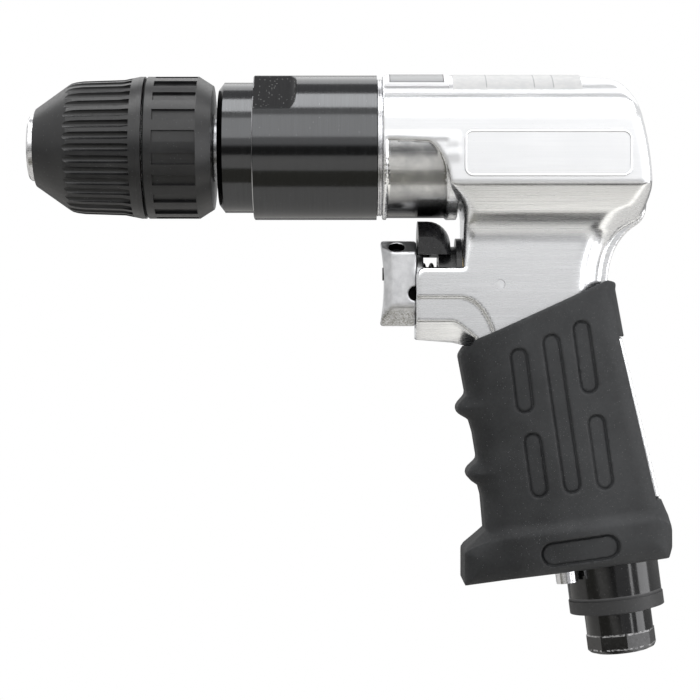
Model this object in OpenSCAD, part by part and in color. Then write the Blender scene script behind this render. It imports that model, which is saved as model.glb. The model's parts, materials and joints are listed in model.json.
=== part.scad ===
// Pistol-grip air drill with a two-sleeve keyless chuck, a planetary gear and a sliding-vane motor.
// X runs along the spindle from the nose of the chuck to the back of the housing and Z is up.
// Y = 0 is the plane of symmetry. The origin is the mouth of the chuck. Sizes are in millimetres.

/* [Chuck] */
// Radius of the bare steel nose
nose_r = 10.2; // [10:0.1:10.3]
// How far the nose stands out of the front sleeve
nose_out = 2.1; // [1.5:0.1:3]
// Radius of the bore that takes the bit
socket_r = 5.1; // [5:0.02:5.12]
// Radius of each jaw
jaw_r = 3.0; // [2.8:0.05:3.1]
// Angle between a jaw and the spindle
jaw_angle = 16; // [15.5:0.5:16.5]
// Greatest radius of both sleeves
sleeve_r = 21.9; // [21.5:0.1:22.2]
// Back edge of the front sleeve
front_sleeve_end = 35.9; // [35.5:0.1:36]
// Front and back of the rear sleeve
rear_sleeve_x = [36.4, 56.9];
// Number of flutes on the front sleeve
flute_count = 36; // [24:2:40]
// Number of shallow recesses on the rear sleeve
recess_count = 20; // [16:2:24]

/* [Gear case] */
// Radius of the gear case and of the round motor barrel
barrel_r = 22.3; // [22.2:0.1:22.6]
// Radius of the collar at the front of the gear case
collar_r = 20.1; // [19.5:0.1:20.5]
// Front of the collar, front of the barrel and back of the gear case
case_x = [58.7, 69.4, 107.2];
// Distance of the wrench flats from the axis
flat_dist = 20.25; // [20.2:0.05:21]
// Angle of the wrench flats above the horizontal
flat_angle = 51; // [30:1:60]

/* [Gears] */
// Teeth on the rotor's pinion
sun_teeth = 9; // [9:1:9]
// Teeth on each planet gear
planet_teeth = 18; // [18:1:18]
// Gear module
gear_module = 0.7; // [0.68:0.01:0.71]
// Pressure angle of the teeth
pressure_angle = 25; // [24:1:26]
// Number of planet gears
planet_count = 3; // [3:1:3]

/* [Motor] */
// Front of the motor cylinder
motor_x = 123; // [122.8:0.1:123.2]
// Length of the motor cylinder
motor_len = 42; // [41:0.5:42.5]
// Outer radius of the motor cylinder
liner_r = 18.95; // [18.9:0.01:18.97]
// Radius of the rotor
rotor_r = 13.9; // [13.7:0.05:13.95]
// Number of vanes
vane_count = 5; // [4:1:6]

/* [Housing] */
// Front face of the housing
housing_x = 108.9; // [108.85:0.05:109]
// Half width across the flat side panels
panel_half = 22.1; // [22:0.1:22.2]
// Height of the crease under the side panels
crease_z = -12.5; // [-12.8:0.1:-12]
// Half width of the neck above the grip
neck_half = 13; // [12.8:0.1:13.4]
// Front wall of the neck
neck_x = 133.6; // [133.6:0.1:134]
// Front face of the trigger boss
boss_x = 119.2; // [119:0.1:119.4]

/* [Grip] */
// Half width of the rubber grip
grip_half = 16.5; // [16:0.1:17]
// Half width of the flared base of the grip
flare_half = 18; // [17.5:0.1:18.5]
// Depth of the grooves in the grip's sides
groove_depth = 0.9; // [0.5:0.1:1.5]

/* [Trigger and valve] */
// Height of the valve axis below the spindle axis
valve_drop = 39.1; // [39.1:0.05:39.3]
// Travel of the trigger
trigger_travel = 3.6; // [3:0.1:3.6]
// Half width of the trigger
trigger_half = 7.8; // [7.4:0.1:7.8]
// Swing of the reversing lever to each side
lever_swing = 16; // [14:1:16]
// Radius of the throttle stem
stem_r = 2; // [1.9:0.05:2]
// Coils of the trigger spring
trigger_coils = 6; // [5:1:7]
// Radius of the trigger spring's wire
trigger_wire_r = 0.5; // [0.4:0.05:0.55]
// Coils of the throttle spring
throttle_coils = 4; // [3:1:4]
// Radius of the throttle spring's wire
throttle_wire_r = 0.35; // [0.3:0.05:0.4]

/* [Inlet] */
// Angle of the inlet axis to the vertical
inlet_tilt = 7.5; // [7:0.5:8]
// Distance across the flats of the inlet bushing's head
head_af = 19.8; // [19:0.2:20]
// Number of flats on the inlet bushing's head
head_flats = 8; // [6:2:8]
// Radius of the inlet thread
inlet_r = 5.85; // [5.7:0.05:6]
// Radius of the exhaust deflector
deflector_r = 14.3; // [14:0.1:14.4]

/* [Hidden] */
$fn = 64;

// Running clearance of shafts and loose fits
run_gap = 0.05;
slip_gap = 0.3;

// Chuck stations along X
nut_x = [17, 25.5];
nut_r = 15.95;
groove_x = [16.5, 25.9];
groove_r = 9;
thrust_ball_r = 1;
thrust_pitch_r = 14.4;
thrust_washer_x = [27.6, 29.3];
body_step_x = [29.35, 36.2, 52.6, 56, 57.2];
body_step_r = [16.4, 18.9, 15, 10.5];
jaw_tip_x = 12.6;
jaw_back_x = 42;
jaw_open_r = 5.15;
jaw_land_len = 12;
jaw_land_half = 0.69;
jaw_pitch = 1.6;
jaw_start_x = jaw_tip_x - (jaw_open_r + 2 * jaw_r / cos(jaw_angle) - jaw_land_len * tan(jaw_angle)
    - jaw_r / cos(jaw_angle)) / tan(jaw_angle);
function jaw_outer(x) = (x - jaw_start_x) * tan(jaw_angle) + jaw_r / cos(jaw_angle);

// Spindle and its bearings: width, outer radius, bore radius, pitch radius, ball radius, balls
spindle_bearing = [8, 14, 6, 10, 2, 9];
rotor_bearing = [7, 11, 4, 7.5, 1.7, 7];
spindle_bearing_x = [62, 78];
rotor_front_x = motor_x - 9.4;
rotor_rear_x = motor_x + motor_len + 2;
rotor_bearing_x = [rotor_front_x, rotor_rear_x];
thread_x = 42.5;
thread_r = 4.7;
shoulder_x = 57.3;
shoulder_r = 9;
carrier_x = [88.9, 91.6];
carrier_r = 15;

// Gears
ring_teeth = sun_teeth + 2 * planet_teeth;
gear_centre = gear_module * (sun_teeth + planet_teeth) / 2;
addendum = 0.8 * gear_module;
dedendum = gear_module;
flank_play = 0.06;
planet_x = [92.3, 99.8];
sun_x = [91.9, 100.6];
ring_x = [91.7, 101];
planet_pin_r = 2.5;
ring_r = 20.2;
rim_x = [107.2, 108.8];
rim_r = 21.1;
spigot_x = 114.8;
spigot_r = 19.9;

// Motor
liner_bore_r = 15.6;
liner_offset = liner_bore_r - rotor_r - 0.1;
plate_flange = 5.5;
plate_boss_r = 15;
pin_drop = 16.4;
locating_pin_r = 1.2;
motor_bore_end = motor_x + motor_len + 10.5;

// Valve
valve_z = -valve_drop;
valve_r = 7.95;
valve_x = [133.4, 158];
seat_x = [158.3, 162];
chamber_x = [162.2, 173];
poppet_x = 165;
chamber_r = 6.3;
trigger_x = [108.2, 119.4, 121.6];
hub_x = [trigger_x[2] + trigger_travel + 0.9, 131.6];
hub_r = 8.5;
lever_flange_r = 11;
lever_r = 16.3;
lever_x = [119.8, 129.9];
lever_round = 7;
lever_hollow_r = 10.9;
lever_half = 12.1;
lever_foot = 5.6;
detent_drop = 9.7;
detent_x = neck_x + 1.23;
trigger_z = [-55.2, -28.9];
spring_x = [116.2, 130.9];
spring_pocket_r = 4;

// Underside of the block: a plane from the crease that leans in by cove_lean, then a cove up to the neck
cove_r = 16.5;
cove_lean = 36.3;
cove_z = -30.3;
// Top of the flat side panels, and the radius of the rounding above them
panel_top_z = 7;
panel_top_r = 8;
// Lowered part of the barrel in front of the side panels
low_x = [110.2, 128.4];
low_r = 21.7;
low_z = 0.6;

// Plug that closes a drilled passage in the neck, in X and Z
plug_at = [144.6, -42.7];

// Inlet: the local axis points down through the centre of the deflector's flange
inlet_pt = [181.5, 0, -140.4];
recess_s = -13;
flange_half = 1.95;
regulator_xy = [15.2, -10.6];

// Points of a cubic curve from a to d, with b and c as its handles, leaving out the start point
function curve(a, b, c, d, n) = [for (i = [1:n]) let (t = i / n, u = 1 - t)
    u * u * u * a + 3 * u * u * t * b + 3 * u * t * t * c + t * t * t * d];

// Points of an arc about c
function arc(c, r, a0, a1, n) = [for (i = [0:n]) let (a = a0 + (a1 - a0) * i / n)
    [c[0] + r * cos(a), c[1] + r * sin(a)]];

// Cylinder along X
module xcyl(x0, x1, r) {
    translate([x0, 0, 0]) rotate([0, 90, 0]) cylinder(h = x1 - x0, r = r);
}

// Cylinder along X about the valve axis
module vcyl(x0, x1, r) {
    translate([0, 0, valve_z]) xcyl(x0, x1, r);
}

// Body turned about X from points [x, radius]
module xturn(pts) {
    rotate([0, 90, 0]) rotate_extrude() polygon([for (p = pts) [p[1], p[0]]]);
}

// Ring along X
module xring(x0, x1, outer, inner) {
    xturn([[x0, inner], [x0, outer], [x1, outer], [x1, inner]]);
}

// Outline in X and Z, drawn out to both sides of the symmetry plane
module side_plate(half) {
    rotate([90, 0, 0]) linear_extrude(2 * half, center = true) children();
}

// Section in Y and Z, drawn out along X
module xprism(x0, x1) {
    translate([x0, 0, 0]) rotate([90, 0, 90]) linear_extrude(x1 - x0) children();
}

// Local frame of the inlet: Z runs down the inlet axis and X towards the chuck
module at_inlet() {
    translate(inlet_pt) rotate([0, 180 - inlet_tilt, 0]) children();
}

module icyl(s0, s1, r) {
    at_inlet() translate([0, 0, s0]) cylinder(h = s1 - s0, r = r);
}

module iring(s0, s1, outer, inner) {
    difference() {
        icyl(s0, s1, outer);
        icyl(s0 - 1, s1 + 1, inner);
    }
}

// Helical wire about X as one unbroken tube
function helix_pt(x0, x1, r, turns, t) = let (a = 360 * turns * t)
    [x0 + (x1 - x0) * t, r * cos(a), r * sin(a)];
function helix_dir(x0, x1, r, turns, t) = let (a = 360 * turns * t, k = 2 * PI * turns,
    v = [x1 - x0, -r * k * sin(a), r * k * cos(a)]) v / norm(v);
module helix(x0, x1, r, wire, turns, rings = 8, sides = 6) {
    n = turns * rings;
    pts = [for (i = [0:n]) let (t = i / n, c = helix_pt(x0, x1, r, turns, t),
        d = helix_dir(x0, x1, r, turns, t), a = 360 * turns * t, out = [0, cos(a), sin(a)],
        side = cross(d, out)) for (j = [0:sides - 1]) let (b = 360 * j / sides)
        c + wire * (cos(b) * out + sin(b) * side)];
    walls = [for (i = [0:n - 1]) for (j = [0:sides - 1]) let (k = (j + 1) % sides,
        a = i * sides + j, b = i * sides + k, c = (i + 1) * sides + k, d = (i + 1) * sides + j)
        each [[a, b, c], [a, c, d]]];
    first = [for (j = [1:sides - 2]) [0, j + 1, j]];
    last = [for (j = [1:sides - 2]) [n * sides, n * sides + j, n * sides + j + 1]];
    polyhedron(pts, concat(walls, first, last));
}

// Least gap between neighbouring coils, measured from every sample point to the turn after it
function coil_gap(x0, x1, r, wire, turns) = min([for (i = [0:8]) let (t = i / 8 / turns,
    p = helix_pt(x0, x1, r, turns, t)) min([for (j = [-4:4]) let (u = t + (1 + j / 16) / turns)
    norm(helix_pt(x0, x1, r, turns, u) - p)])]) - 2 * wire;
echo(trigger_spring_gap = coil_gap(spring_x[0], spring_x[1], 3, trigger_wire_r, trigger_coils));
echo(throttle_spring_gap = coil_gap(165.3, 172.8, 2.9, throttle_wire_r, throttle_coils));

// Ball bearing parts
module outer_ring(x, b) {
    difference() {
        xring(x, x + b[0], b[1], b[3] + 0.55 * b[4]);
        raceway(x, b);
    }
}

module inner_ring(x, b) {
    difference() {
        xring(x, x + b[0], b[3] - 0.55 * b[4], b[2]);
        raceway(x, b);
    }
}

module raceway(x, b) {
    translate([x + b[0] / 2, 0, 0]) rotate([0, 90, 0]) rotate_extrude()
        translate([b[3], 0]) circle(r = b[4] + run_gap);
}

module ball_set(x, b) {
    cage_half = b[4] + 0.8;
    cage_wall = 0.28 * b[4];
    for (i = [0:b[5] - 1]) rotate([360 * i / b[5], 0, 0])
        translate([x + b[0] / 2, 0, b[3]]) sphere(r = b[4], $fn = 32);
    difference() {
        xring(x + b[0] / 2 - cage_half, x + b[0] / 2 + cage_half, b[3] + cage_wall, b[3] - cage_wall);
        for (i = [0:b[5] - 1]) rotate([360 * i / b[5], 0, 0])
            translate([x + b[0] / 2, 0, b[3] - 1]) cylinder(h = 2, r = b[4] + run_gap);
    }
}

// Involute gear outlines
function roll_angle(a) = tan(a) * 180 / PI - a;
function half_tooth(r, rp, rb, z, play) = 90 / z - play / rp * 180 / PI + roll_angle(pressure_angle)
    - roll_angle(acos(min(1, rb / r)));
module gear_outline(z, tip, root, play, phase) {
    rp = gear_module * z / 2;
    rb = rp * cos(pressure_angle);
    low = max(rb, root);
    flank = [for (k = [0:4]) low + (tip - low) * k / 4];
    polygon([for (i = [0:z - 1]) let (c = phase + 360 * i / z) each concat(
        [let (a = c - half_tooth(low, rp, rb, z, play)) root * [cos(a), sin(a)]],
        [for (r = flank) let (a = c - half_tooth(r, rp, rb, z, play)) r * [cos(a), sin(a)]],
        [for (k = [4:-1:0]) let (r = flank[k], a = c + half_tooth(r, rp, rb, z, play))
            r * [cos(a), sin(a)]],
        [let (a = c + half_tooth(low, rp, rb, z, play)) root * [cos(a), sin(a)]])]);
}

// Chuck
module jaw_bore(k, r, s0, s1) {
    rotate([120 * k, 0, 0]) translate([jaw_start_x, 0, 0]) rotate([0, 90 - jaw_angle, 0])
        translate([0, 0, s0]) cylinder(h = s1 - s0, r = r);
}

module chuck_body() {
    bore_end = 36;
    hub_r2 = 12.5;
    color("#b9bcc0") difference() {
        xturn([[0, 0], [0, nose_r - 0.5], [0.6, nose_r], [groove_x[0], nose_r], [groove_x[0], groove_r],
            [groove_x[1], groove_r], [groove_x[1], hub_r2], [body_step_x[0], hub_r2],
            [body_step_x[0], body_step_r[0]], [body_step_x[1], body_step_r[0]],
            [body_step_x[1], body_step_r[1]], [body_step_x[2], body_step_r[1]],
            [body_step_x[2], body_step_r[2]], [body_step_x[3], body_step_r[2]],
            [body_step_x[3], body_step_r[3]], [body_step_x[4], body_step_r[3]], [body_step_x[4], 0]]);
        xcyl(-1, bore_end, socket_r);
        xcyl(bore_end - 1, body_step_x[4] + 1, thread_r + run_gap);
        for (k = [0:2]) jaw_bore(k, jaw_r + run_gap, 2, 50);
    }
}

module chuck_front_sleeve() {
    flute_r = 1.2;
    skin_r = 20.35;
    color("#2c2e30") difference() {
        xturn([[nose_out, nose_r + 0.2], [nose_out, 12.1], [12.2, 19.2], [13.2, 19.8], [14.7, 20.2],
            [17, 20.5], [29.5, 20.9], [32, 21.4], [34.5, sleeve_r], [front_sleeve_end, sleeve_r],
            [front_sleeve_end, 18], [groove_x[1], 18], [groove_x[1], nut_r + 0.02],
            [nut_x[0] - 0.1, nut_r + 0.02], [nut_x[0] - 0.1, nose_r + 0.2]]);
        for (i = [0:flute_count - 1]) rotate([360 * (i + 0.5) / flute_count, 0, 0])
            translate([10.7, 0, skin_r]) rotate([0, 90 - 1.6, 0]) union() {
                cylinder(h = 21.6, r = flute_r, $fn = 24);
                sphere(r = flute_r, $fn = 24);
            }
    }
}

module chuck_nut() {
    color("#8d9094") difference() {
        xturn([[nut_x[0], jaw_outer(nut_x[0]) + 0.15], [nut_x[0], nut_r], [nut_x[1], nut_r],
            [nut_x[1], jaw_outer(nut_x[1]) + 0.15]]);
        translate([nut_x[0] - 1, -nut_r - 1, -0.15]) cube([nut_x[1] - nut_x[0] + 2, 2 * nut_r + 2, 0.3]);
    }
}

module chuck_thrust_washer() {
    color("#a5a8ab") xring(thrust_washer_x[0], thrust_washer_x[1], 15.6, 13.2);
}

module chuck_thrust_balls() {
    n = 24;
    color("#c9ccd0") for (i = [0:n - 1]) rotate([360 * i / n, 0, 0])
        translate([thrust_washer_x[0] - thrust_ball_r - 0.03, 0, thrust_pitch_r])
            sphere(r = thrust_ball_r, $fn = 24);
}

module chuck_screw() {
    color("#5c5f63") difference() {
        union() {
            xcyl(39, thread_x - 0.05, 4.3);
            xcyl(thread_x - 0.1, 54, 2.05);
        }
        translate([38, -3, -0.6]) cube([2.4, 6, 1.2]);
    }
}

module chuck_rear_sleeve() {
    recess_x = [39.3, 52.3];
    recess_depth = 0.9;
    recess_w = 2 * sleeve_r * sin(9.2 / 2);
    recess_turn = 14;
    color("#2c2e30") difference() {
        xturn([[rear_sleeve_x[0], body_step_r[1] + 0.02], [rear_sleeve_x[0], sleeve_r - 0.5],
            [rear_sleeve_x[0] + 0.5, sleeve_r], [52.5, sleeve_r], [rear_sleeve_x[1], 19.1],
            [rear_sleeve_x[1], body_step_r[3] + 0.05], [body_step_x[3] + 0.05, body_step_r[3] + 0.05],
            [body_step_x[3] + 0.05, body_step_r[2] + 0.05], [body_step_x[2] + 0.05, body_step_r[2] + 0.05],
            [body_step_x[2] + 0.05, body_step_r[1] + 0.02]]);
        for (i = [0:recess_count - 1]) rotate([360 * i / recess_count + recess_turn, 0, 0])
            translate([recess_x[0], -recess_w / 2, sleeve_r - recess_depth])
                cube([recess_x[1] - recess_x[0], recess_w, 2]);
    }
}

module chuck_jaw(k) {
    s0 = (jaw_tip_x - jaw_start_x) / cos(jaw_angle);
    s1 = (jaw_back_x - jaw_start_x) / cos(jaw_angle);
    wide = jaw_r + 1;
    color("#9a9da1") difference() {
        intersection() {
            jaw_bore(k, jaw_r, s0 - 3, s1);
            rotate([120 * k, 0, 0]) xprism(jaw_tip_x, jaw_back_x + 2)
                polygon([[-jaw_land_half, jaw_open_r], [jaw_land_half, jaw_open_r],
                    [wide, jaw_open_r + (wide - jaw_land_half) / tan(60)], [wide, 30], [-wide, 30],
                    [-wide, jaw_open_r + (wide - jaw_land_half) / tan(60)]]);
        }
        rotate([120 * k, 0, 0]) translate([jaw_start_x, 0, 0]) rotate([0, 90 - jaw_angle, 0])
            for (s = [s0 + 4:jaw_pitch:s1 - 1]) translate([-jaw_r - 0.2, -jaw_r, s])
                cube([0.7, 2 * jaw_r, jaw_pitch / 2]);
    }
}
module chuck_jaw_1() { chuck_jaw(0); }
module chuck_jaw_2() { chuck_jaw(1); }
module chuck_jaw_3() { chuck_jaw(2); }

// Gear case and gears
module gear_case() {
    flat_x = [case_x[1] - 1, case_x[1] + 11];
    fillet = 2.4;
    color("#1b1c1e") difference() {
        xturn([[case_x[0], shoulder_r + slip_gap], [case_x[0], collar_r - 2.2], [case_x[0] + 1.7, collar_r],
            [case_x[1], collar_r], [case_x[1], barrel_r - 0.3], [case_x[1] + 0.3, barrel_r],
            [case_x[2], barrel_r], [case_x[2], ring_r + run_gap], [88.5, ring_r + run_gap],
            [88.5, 14.02], [87.3, 14.02], [87.3, 15], [86.1, 15], [86.1, 14.02], [61.9, 14.02],
            [61.9, shoulder_r + slip_gap]]);
        for (a = [0, 180]) rotate([a - flat_angle, 0, 0]) translate([0, -flat_dist, 0]) mirror([0, 1, 0]) {
            translate([flat_x[0], 0, -12]) cube([flat_x[1] - flat_x[0], 5, 24]);
            translate([flat_x[1], fillet, -12]) cylinder(h = 24, r = fillet);
        }
    }
}

module spindle() {
    color("#a9acb0") difference() {
        union() {
            xcyl(thread_x, shoulder_x + 1, thread_r);
            xcyl(shoulder_x, spindle_bearing_x[0], shoulder_r);
            xcyl(spindle_bearing_x[0] - 1, carrier_x[0], spindle_bearing[2] - 0.01);
            xcyl(spindle_bearing_x[1] + spindle_bearing[0], carrier_x[0], 8);
            xcyl(carrier_x[0], carrier_x[1], carrier_r);
        }
        xcyl(thread_x - 1, 56, 2.1);
        for (k = [0:planet_count - 1]) rotate([120 * k, 0, 0])
            translate([0, gear_centre, 0]) xcyl(carrier_x[0] - 1, carrier_x[1] + 1, planet_pin_r);
    }
}

module planet_pins() {
    color("#c4c7ca") for (k = [0:planet_count - 1]) rotate([120 * k, 0, 0])
        translate([0, gear_centre, 0]) xcyl(carrier_x[0] + 0.1, planet_x[1] + 1, planet_pin_r);
}

module planet_gear(k) {
    rp = gear_module * planet_teeth / 2;
    phase = 180 / planet_teeth;
    color("#8f9296") rotate([120 * k, 0, 0]) translate([0, gear_centre, 0]) rotate([-120 * k, 0, 0])
        difference() {
            xprism(planet_x[0], planet_x[1])
                gear_outline(planet_teeth, rp + addendum, rp - dedendum, flank_play, phase);
            xcyl(planet_x[0] - 1, planet_x[1] + 1, planet_pin_r + run_gap);
        }
}
module planet_gear_1() { planet_gear(0); }
module planet_gear_2() { planet_gear(1); }
module planet_gear_3() { planet_gear(2); }

module ring_gear() {
    rp = gear_module * ring_teeth / 2;
    color("#c6c8ca") difference() {
        xturn([[ring_x[0], 0], [ring_x[0], ring_r], [rim_x[0] + 0.02, ring_r], [rim_x[0] + 0.02, rim_r - 0.3],
            [rim_x[0] + 0.3, rim_r], [107.8, rim_r], [108, rim_r - 0.25], [108.2, rim_r],
            [rim_x[1] - 0.3, rim_r], [rim_x[1], rim_r - 0.3],
            [rim_x[1], spigot_r], [spigot_x, spigot_r], [spigot_x, 0]]);
        xprism(ring_x[0] - 1, ring_x[1] + 0.5)
            gear_outline(ring_teeth, rp + dedendum, rp - addendum, -flank_play, 180 / ring_teeth);
        xcyl(ring_x[1], spigot_x + 1, 17);
    }
}

module spindle_bearing_outer_rings() {
    color("#d0d2d5") for (x = spindle_bearing_x) outer_ring(x, spindle_bearing);
}
module spindle_bearing_inner_rings() {
    color("#d0d2d5") for (x = spindle_bearing_x) inner_ring(x, spindle_bearing);
}
module spindle_bearing_balls() {
    color("#e2e4e6") for (x = spindle_bearing_x) ball_set(x, spindle_bearing);
}
module rotor_bearing_outer_rings() {
    color("#d0d2d5") for (x = rotor_bearing_x) outer_ring(x, rotor_bearing);
}
module rotor_bearing_inner_rings() {
    color("#d0d2d5") for (x = rotor_bearing_x) inner_ring(x, rotor_bearing);
}
module rotor_bearing_balls() {
    color("#e2e4e6") for (x = rotor_bearing_x) ball_set(x, rotor_bearing);
}

module bearing_spacer() {
    color("#85888c") xring(spindle_bearing_x[0] + spindle_bearing[0], spindle_bearing_x[1], 14, 12.4);
}

module bearing_clip() {
    color("#6b6e72") difference() {
        xring(86.15, 87.25, 14.95, 13);
        translate([86, -4, 0]) cube([2, 8, 20]);
    }
}

// Motor
module motor_clamp_ring() {
    color("#8d9094") xring(spigot_x + 0.05, motor_x - plate_flange, 18.9, 16);
}

module end_plate(x0, flange0, flange1, x1, pocket0, pocket1) {
    difference() {
        union() {
            xcyl(flange0, flange1, liner_r);
            xcyl(x0, x1, plate_boss_r);
        }
        xcyl(pocket0, pocket1, rotor_bearing[1] + 0.01);
        xcyl(x0 - 1, x1 + 1, 5.9);
        translate([0, 0, -pin_drop]) xcyl(motor_x - 3, motor_x + motor_len + 3, locating_pin_r + 0.02);
    }
}

module front_end_plate() {
    pocket_end = rotor_front_x + rotor_bearing[0];
    color("#a3a6a9") end_plate(rotor_front_x - 0.4, motor_x - plate_flange, motor_x, motor_x,
        rotor_front_x - 1, pocket_end);
}

module rear_end_plate() {
    back = motor_x + motor_len;
    color("#a3a6a9") end_plate(back, back, back + plate_flange, rotor_rear_x + rotor_bearing[0] + 0.4,
        rotor_rear_x, rotor_rear_x + rotor_bearing[0] + 2);
}

module motor_cylinder() {
    ports = 6;
    color("#9a9da0") difference() {
        xcyl(motor_x, motor_x + motor_len, liner_r);
        translate([0, 0, liner_offset]) xcyl(motor_x - 1, motor_x + motor_len + 1, liner_bore_r);
        translate([0, 0, -pin_drop]) xcyl(motor_x - 1, motor_x + motor_len + 1, locating_pin_r + 0.02);
        for (i = [0:ports - 1]) for (a = [-60, 60]) translate([motor_x + 6 + 6 * i, 0, 0])
            rotate([a, 0, 0]) cylinder(h = 30, r = 1.5);
    }
}

module cylinder_pin() {
    color("#c4c7ca") translate([0, 0, -pin_drop])
        xcyl(motor_x - 2.9, motor_x + motor_len + 2.9, locating_pin_r);
}

module rotor() {
    x0 = motor_x + 0.1;
    x1 = motor_x + motor_len - 0.1;
    rp = gear_module * sun_teeth / 2;
    shaft_r = rotor_bearing[2] - 0.01;
    color("#7f8286") union() {
        xprism(sun_x[0], sun_x[1]) gear_outline(sun_teeth, rp + addendum, rp - dedendum, flank_play, 0);
        xcyl(sun_x[1] - 0.1, rotor_front_x, 3.6);
        xcyl(rotor_front_x - 0.1, rotor_front_x + rotor_bearing[0], shaft_r);
        xcyl(rotor_front_x + rotor_bearing[0], x0 + 1, 5.4);
        difference() {
            xcyl(x0, x1, rotor_r);
            for (i = [0:vane_count - 1]) rotate([360 * i / vane_count, 0, 0])
                translate([x0 - 1, -1, 6.4]) cube([x1 - x0 + 2, 2, 10]);
        }
        xcyl(x1 - 1, rotor_rear_x, 5.4);
        xcyl(rotor_rear_x - 0.1, rotor_rear_x + rotor_bearing[0] + 0.4, shaft_r);
    }
}

module rotor_vanes() {
    x0 = motor_x + 0.15;
    color("#7a5a38") for (i = [0:vane_count - 1]) rotate([360 * i / vane_count, 0, 0])
        translate([x0, -0.95, 6.6]) cube([motor_len - 0.3, 1.9, 7.2]);
}

// Outline of the housing behind the neck wall, from the top to the grip
function rear_line() = concat(
    curve([176.5, 22.3], [181.6, 22.3], [183.8, 17.6], [185.2, 13.5], 6),
    curve([185.2, 13.5], [187.6, 6.4], [189.6, -2], [190, -11.5], 5),
    curve([190, -11.5], [190.3, -18.4], [189.6, -22.6], [186.9, -24.2], 6),
    curve([186.9, -24.2], [181.6, -27.3], [178.2, -33.4], [177.9, -41.2], 8));

// Section of the housing behind the neck wall
module body_section() {
    touch = [neck_half + cove_r * (1 - cos(cove_lean)), cove_z + cove_r * sin(cove_lean)];
    union() {
        intersection() {
            circle(r = barrel_r);
            translate([-30, 0]) square([60, 30]);
        }
        translate([-panel_half, crease_z]) square([2 * panel_half, panel_top_z - crease_z]);
        for (s = [-1, 1]) translate([s * (panel_half - panel_top_r), panel_top_z]) circle(r = panel_top_r);
        difference() {
            polygon([[-panel_half, crease_z + 0.5], [panel_half, crease_z + 0.5], [panel_half, crease_z],
                touch, [neck_half, cove_z], [-neck_half, cove_z], [-touch[0], touch[1]],
                [-panel_half, crease_z]]);
            for (s = [-1, 1]) translate([s * (neck_half + cove_r), cove_z]) circle(r = cove_r);
        }
        translate([-neck_half, -65]) square([2 * neck_half, 50]);
    }
}

// Metal core of the handle, which the grip closes round
module handle_core() {
    core_half = 13.2;
    front = [[137.6, -56], [143.6, -126], [144.2, -132.6]];
    back = [[194.4, -126.4], [193.8, -122], [191, -108], [179.6, -58.5], [177.6, -42.4]];
    intersection() {
        side_plate(core_half) polygon(concat(front, back));
        leaning_prism([137, -56], 5, core_half, 7);
    }
}

// Upright prism that leans back by an angle, with round front edges
module leaning_prism(foot, lean, half, r) {
    translate([foot[0], 0, foot[1]]) rotate([0, -lean, 0]) translate([0, 0, -150]) linear_extrude(300)
        union() {
            translate([r, -half]) square([90, 2 * half]);
            translate([0, -half + r]) square([90, 2 * (half - r)]);
            for (s = [-1, 1]) translate([r, s * (half - r)]) circle(r = r);
        }
}

module motor_housing() {
    fillet = 3.4;
    trough_z = -55.8;
    boss_z = -59.4;
    color("#cfd2d6") difference() {
        union() {
            difference() {
                xcyl(housing_x, neck_x + 8, barrel_r);
                intersection() {
                    xring(low_x[0], low_x[1], barrel_r + 1, low_r);
                    translate([low_x[0] - 1, -30, low_z - 30]) cube([30, 60, 30]);
                }
            }
            intersection() {
                xprism(housing_x, 194) body_section();
                side_plate(30) polygon(concat([[housing_x, low_z], [housing_x, 22.5], [176.5, 22.5]],
                    rear_line(), [[178, -62], [137, -62], [neck_x, -58], [neck_x, -20.5], [132.9, -17.8],
                    [131.4, -15.2], [129.6, -13.2], [129.2, crease_z], [128.5, -8.7], [126.7, -4.5],
                    [124, -1.3], [121.5, low_z]]));
            }
            side_plate(neck_half) polygon(concat([[142, -56.5], [142, valve_z + 1.7]],
                arc([boss_x + 2, valve_z - 0.3], 2, 90, 180, 4),
                [[boss_x, -46.7], [boss_x, boss_z], [131, boss_z - 0.9], [137.6, -62]]));
            handle_core();
            side_plate(9.5) polygon([[178.6, -58.7], [181.6, -58.7], [193.1, -107.8], [189.6, -107.8]]);
        }
        notch_cut(fillet);
        for (s = [-1, 1]) translate([boss_x - 1, s * (neck_half + 1.2), -63]) rotate([45, 0, 0])
            cube([16, 6, 6], center = false);
        translate([boss_x - 1, -trigger_half - 0.35, trough_z])
            cube([hub_x[0] - boss_x + 0.8, 2 * trigger_half + 0.7, 19]);
        vcyl(hub_x[0] - 0.4, hub_x[1] + 0.2, hub_r + 0.4);
        vcyl(hub_x[1] - 0.3, neck_x, lever_flange_r + 0.4);
        vcyl(neck_x - 1, seat_x[1] + 0.2, valve_r + 0.05);
        vcyl(seat_x[1], chamber_x[1], chamber_r);
        xcyl(housing_x - 1, 115, spigot_r + run_gap);
        xcyl(114, motor_bore_end, liner_r + run_gap);
        xcyl(motor_bore_end - 1, motor_bore_end + 7, 12);
        icyl(-105, -11, 5.4);
        icyl(-31, -11, 9.05);
        icyl(recess_s, 5, deflector_r + 0.4);
        at_inlet() translate([17.5, 0, -82]) cylinder(h = 75, r = 4.6);
        at_inlet() translate([17.5, 0, -14]) cylinder(h = 12, r = 6);
        for (s = [-4, 4]) translate([143, s, valve_z + 6]) cylinder(h = 20, r = 2.2);
        translate([0, 0, -detent_drop]) vcyl(neck_x - 1, 144, 1.56);
        translate([plug_at[0], -neck_half - 1, plug_at[1]]) rotate([-90, 0, 0]) cylinder(h = 5, r = 1.4);
        regulator_hole();
    }
}

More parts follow.
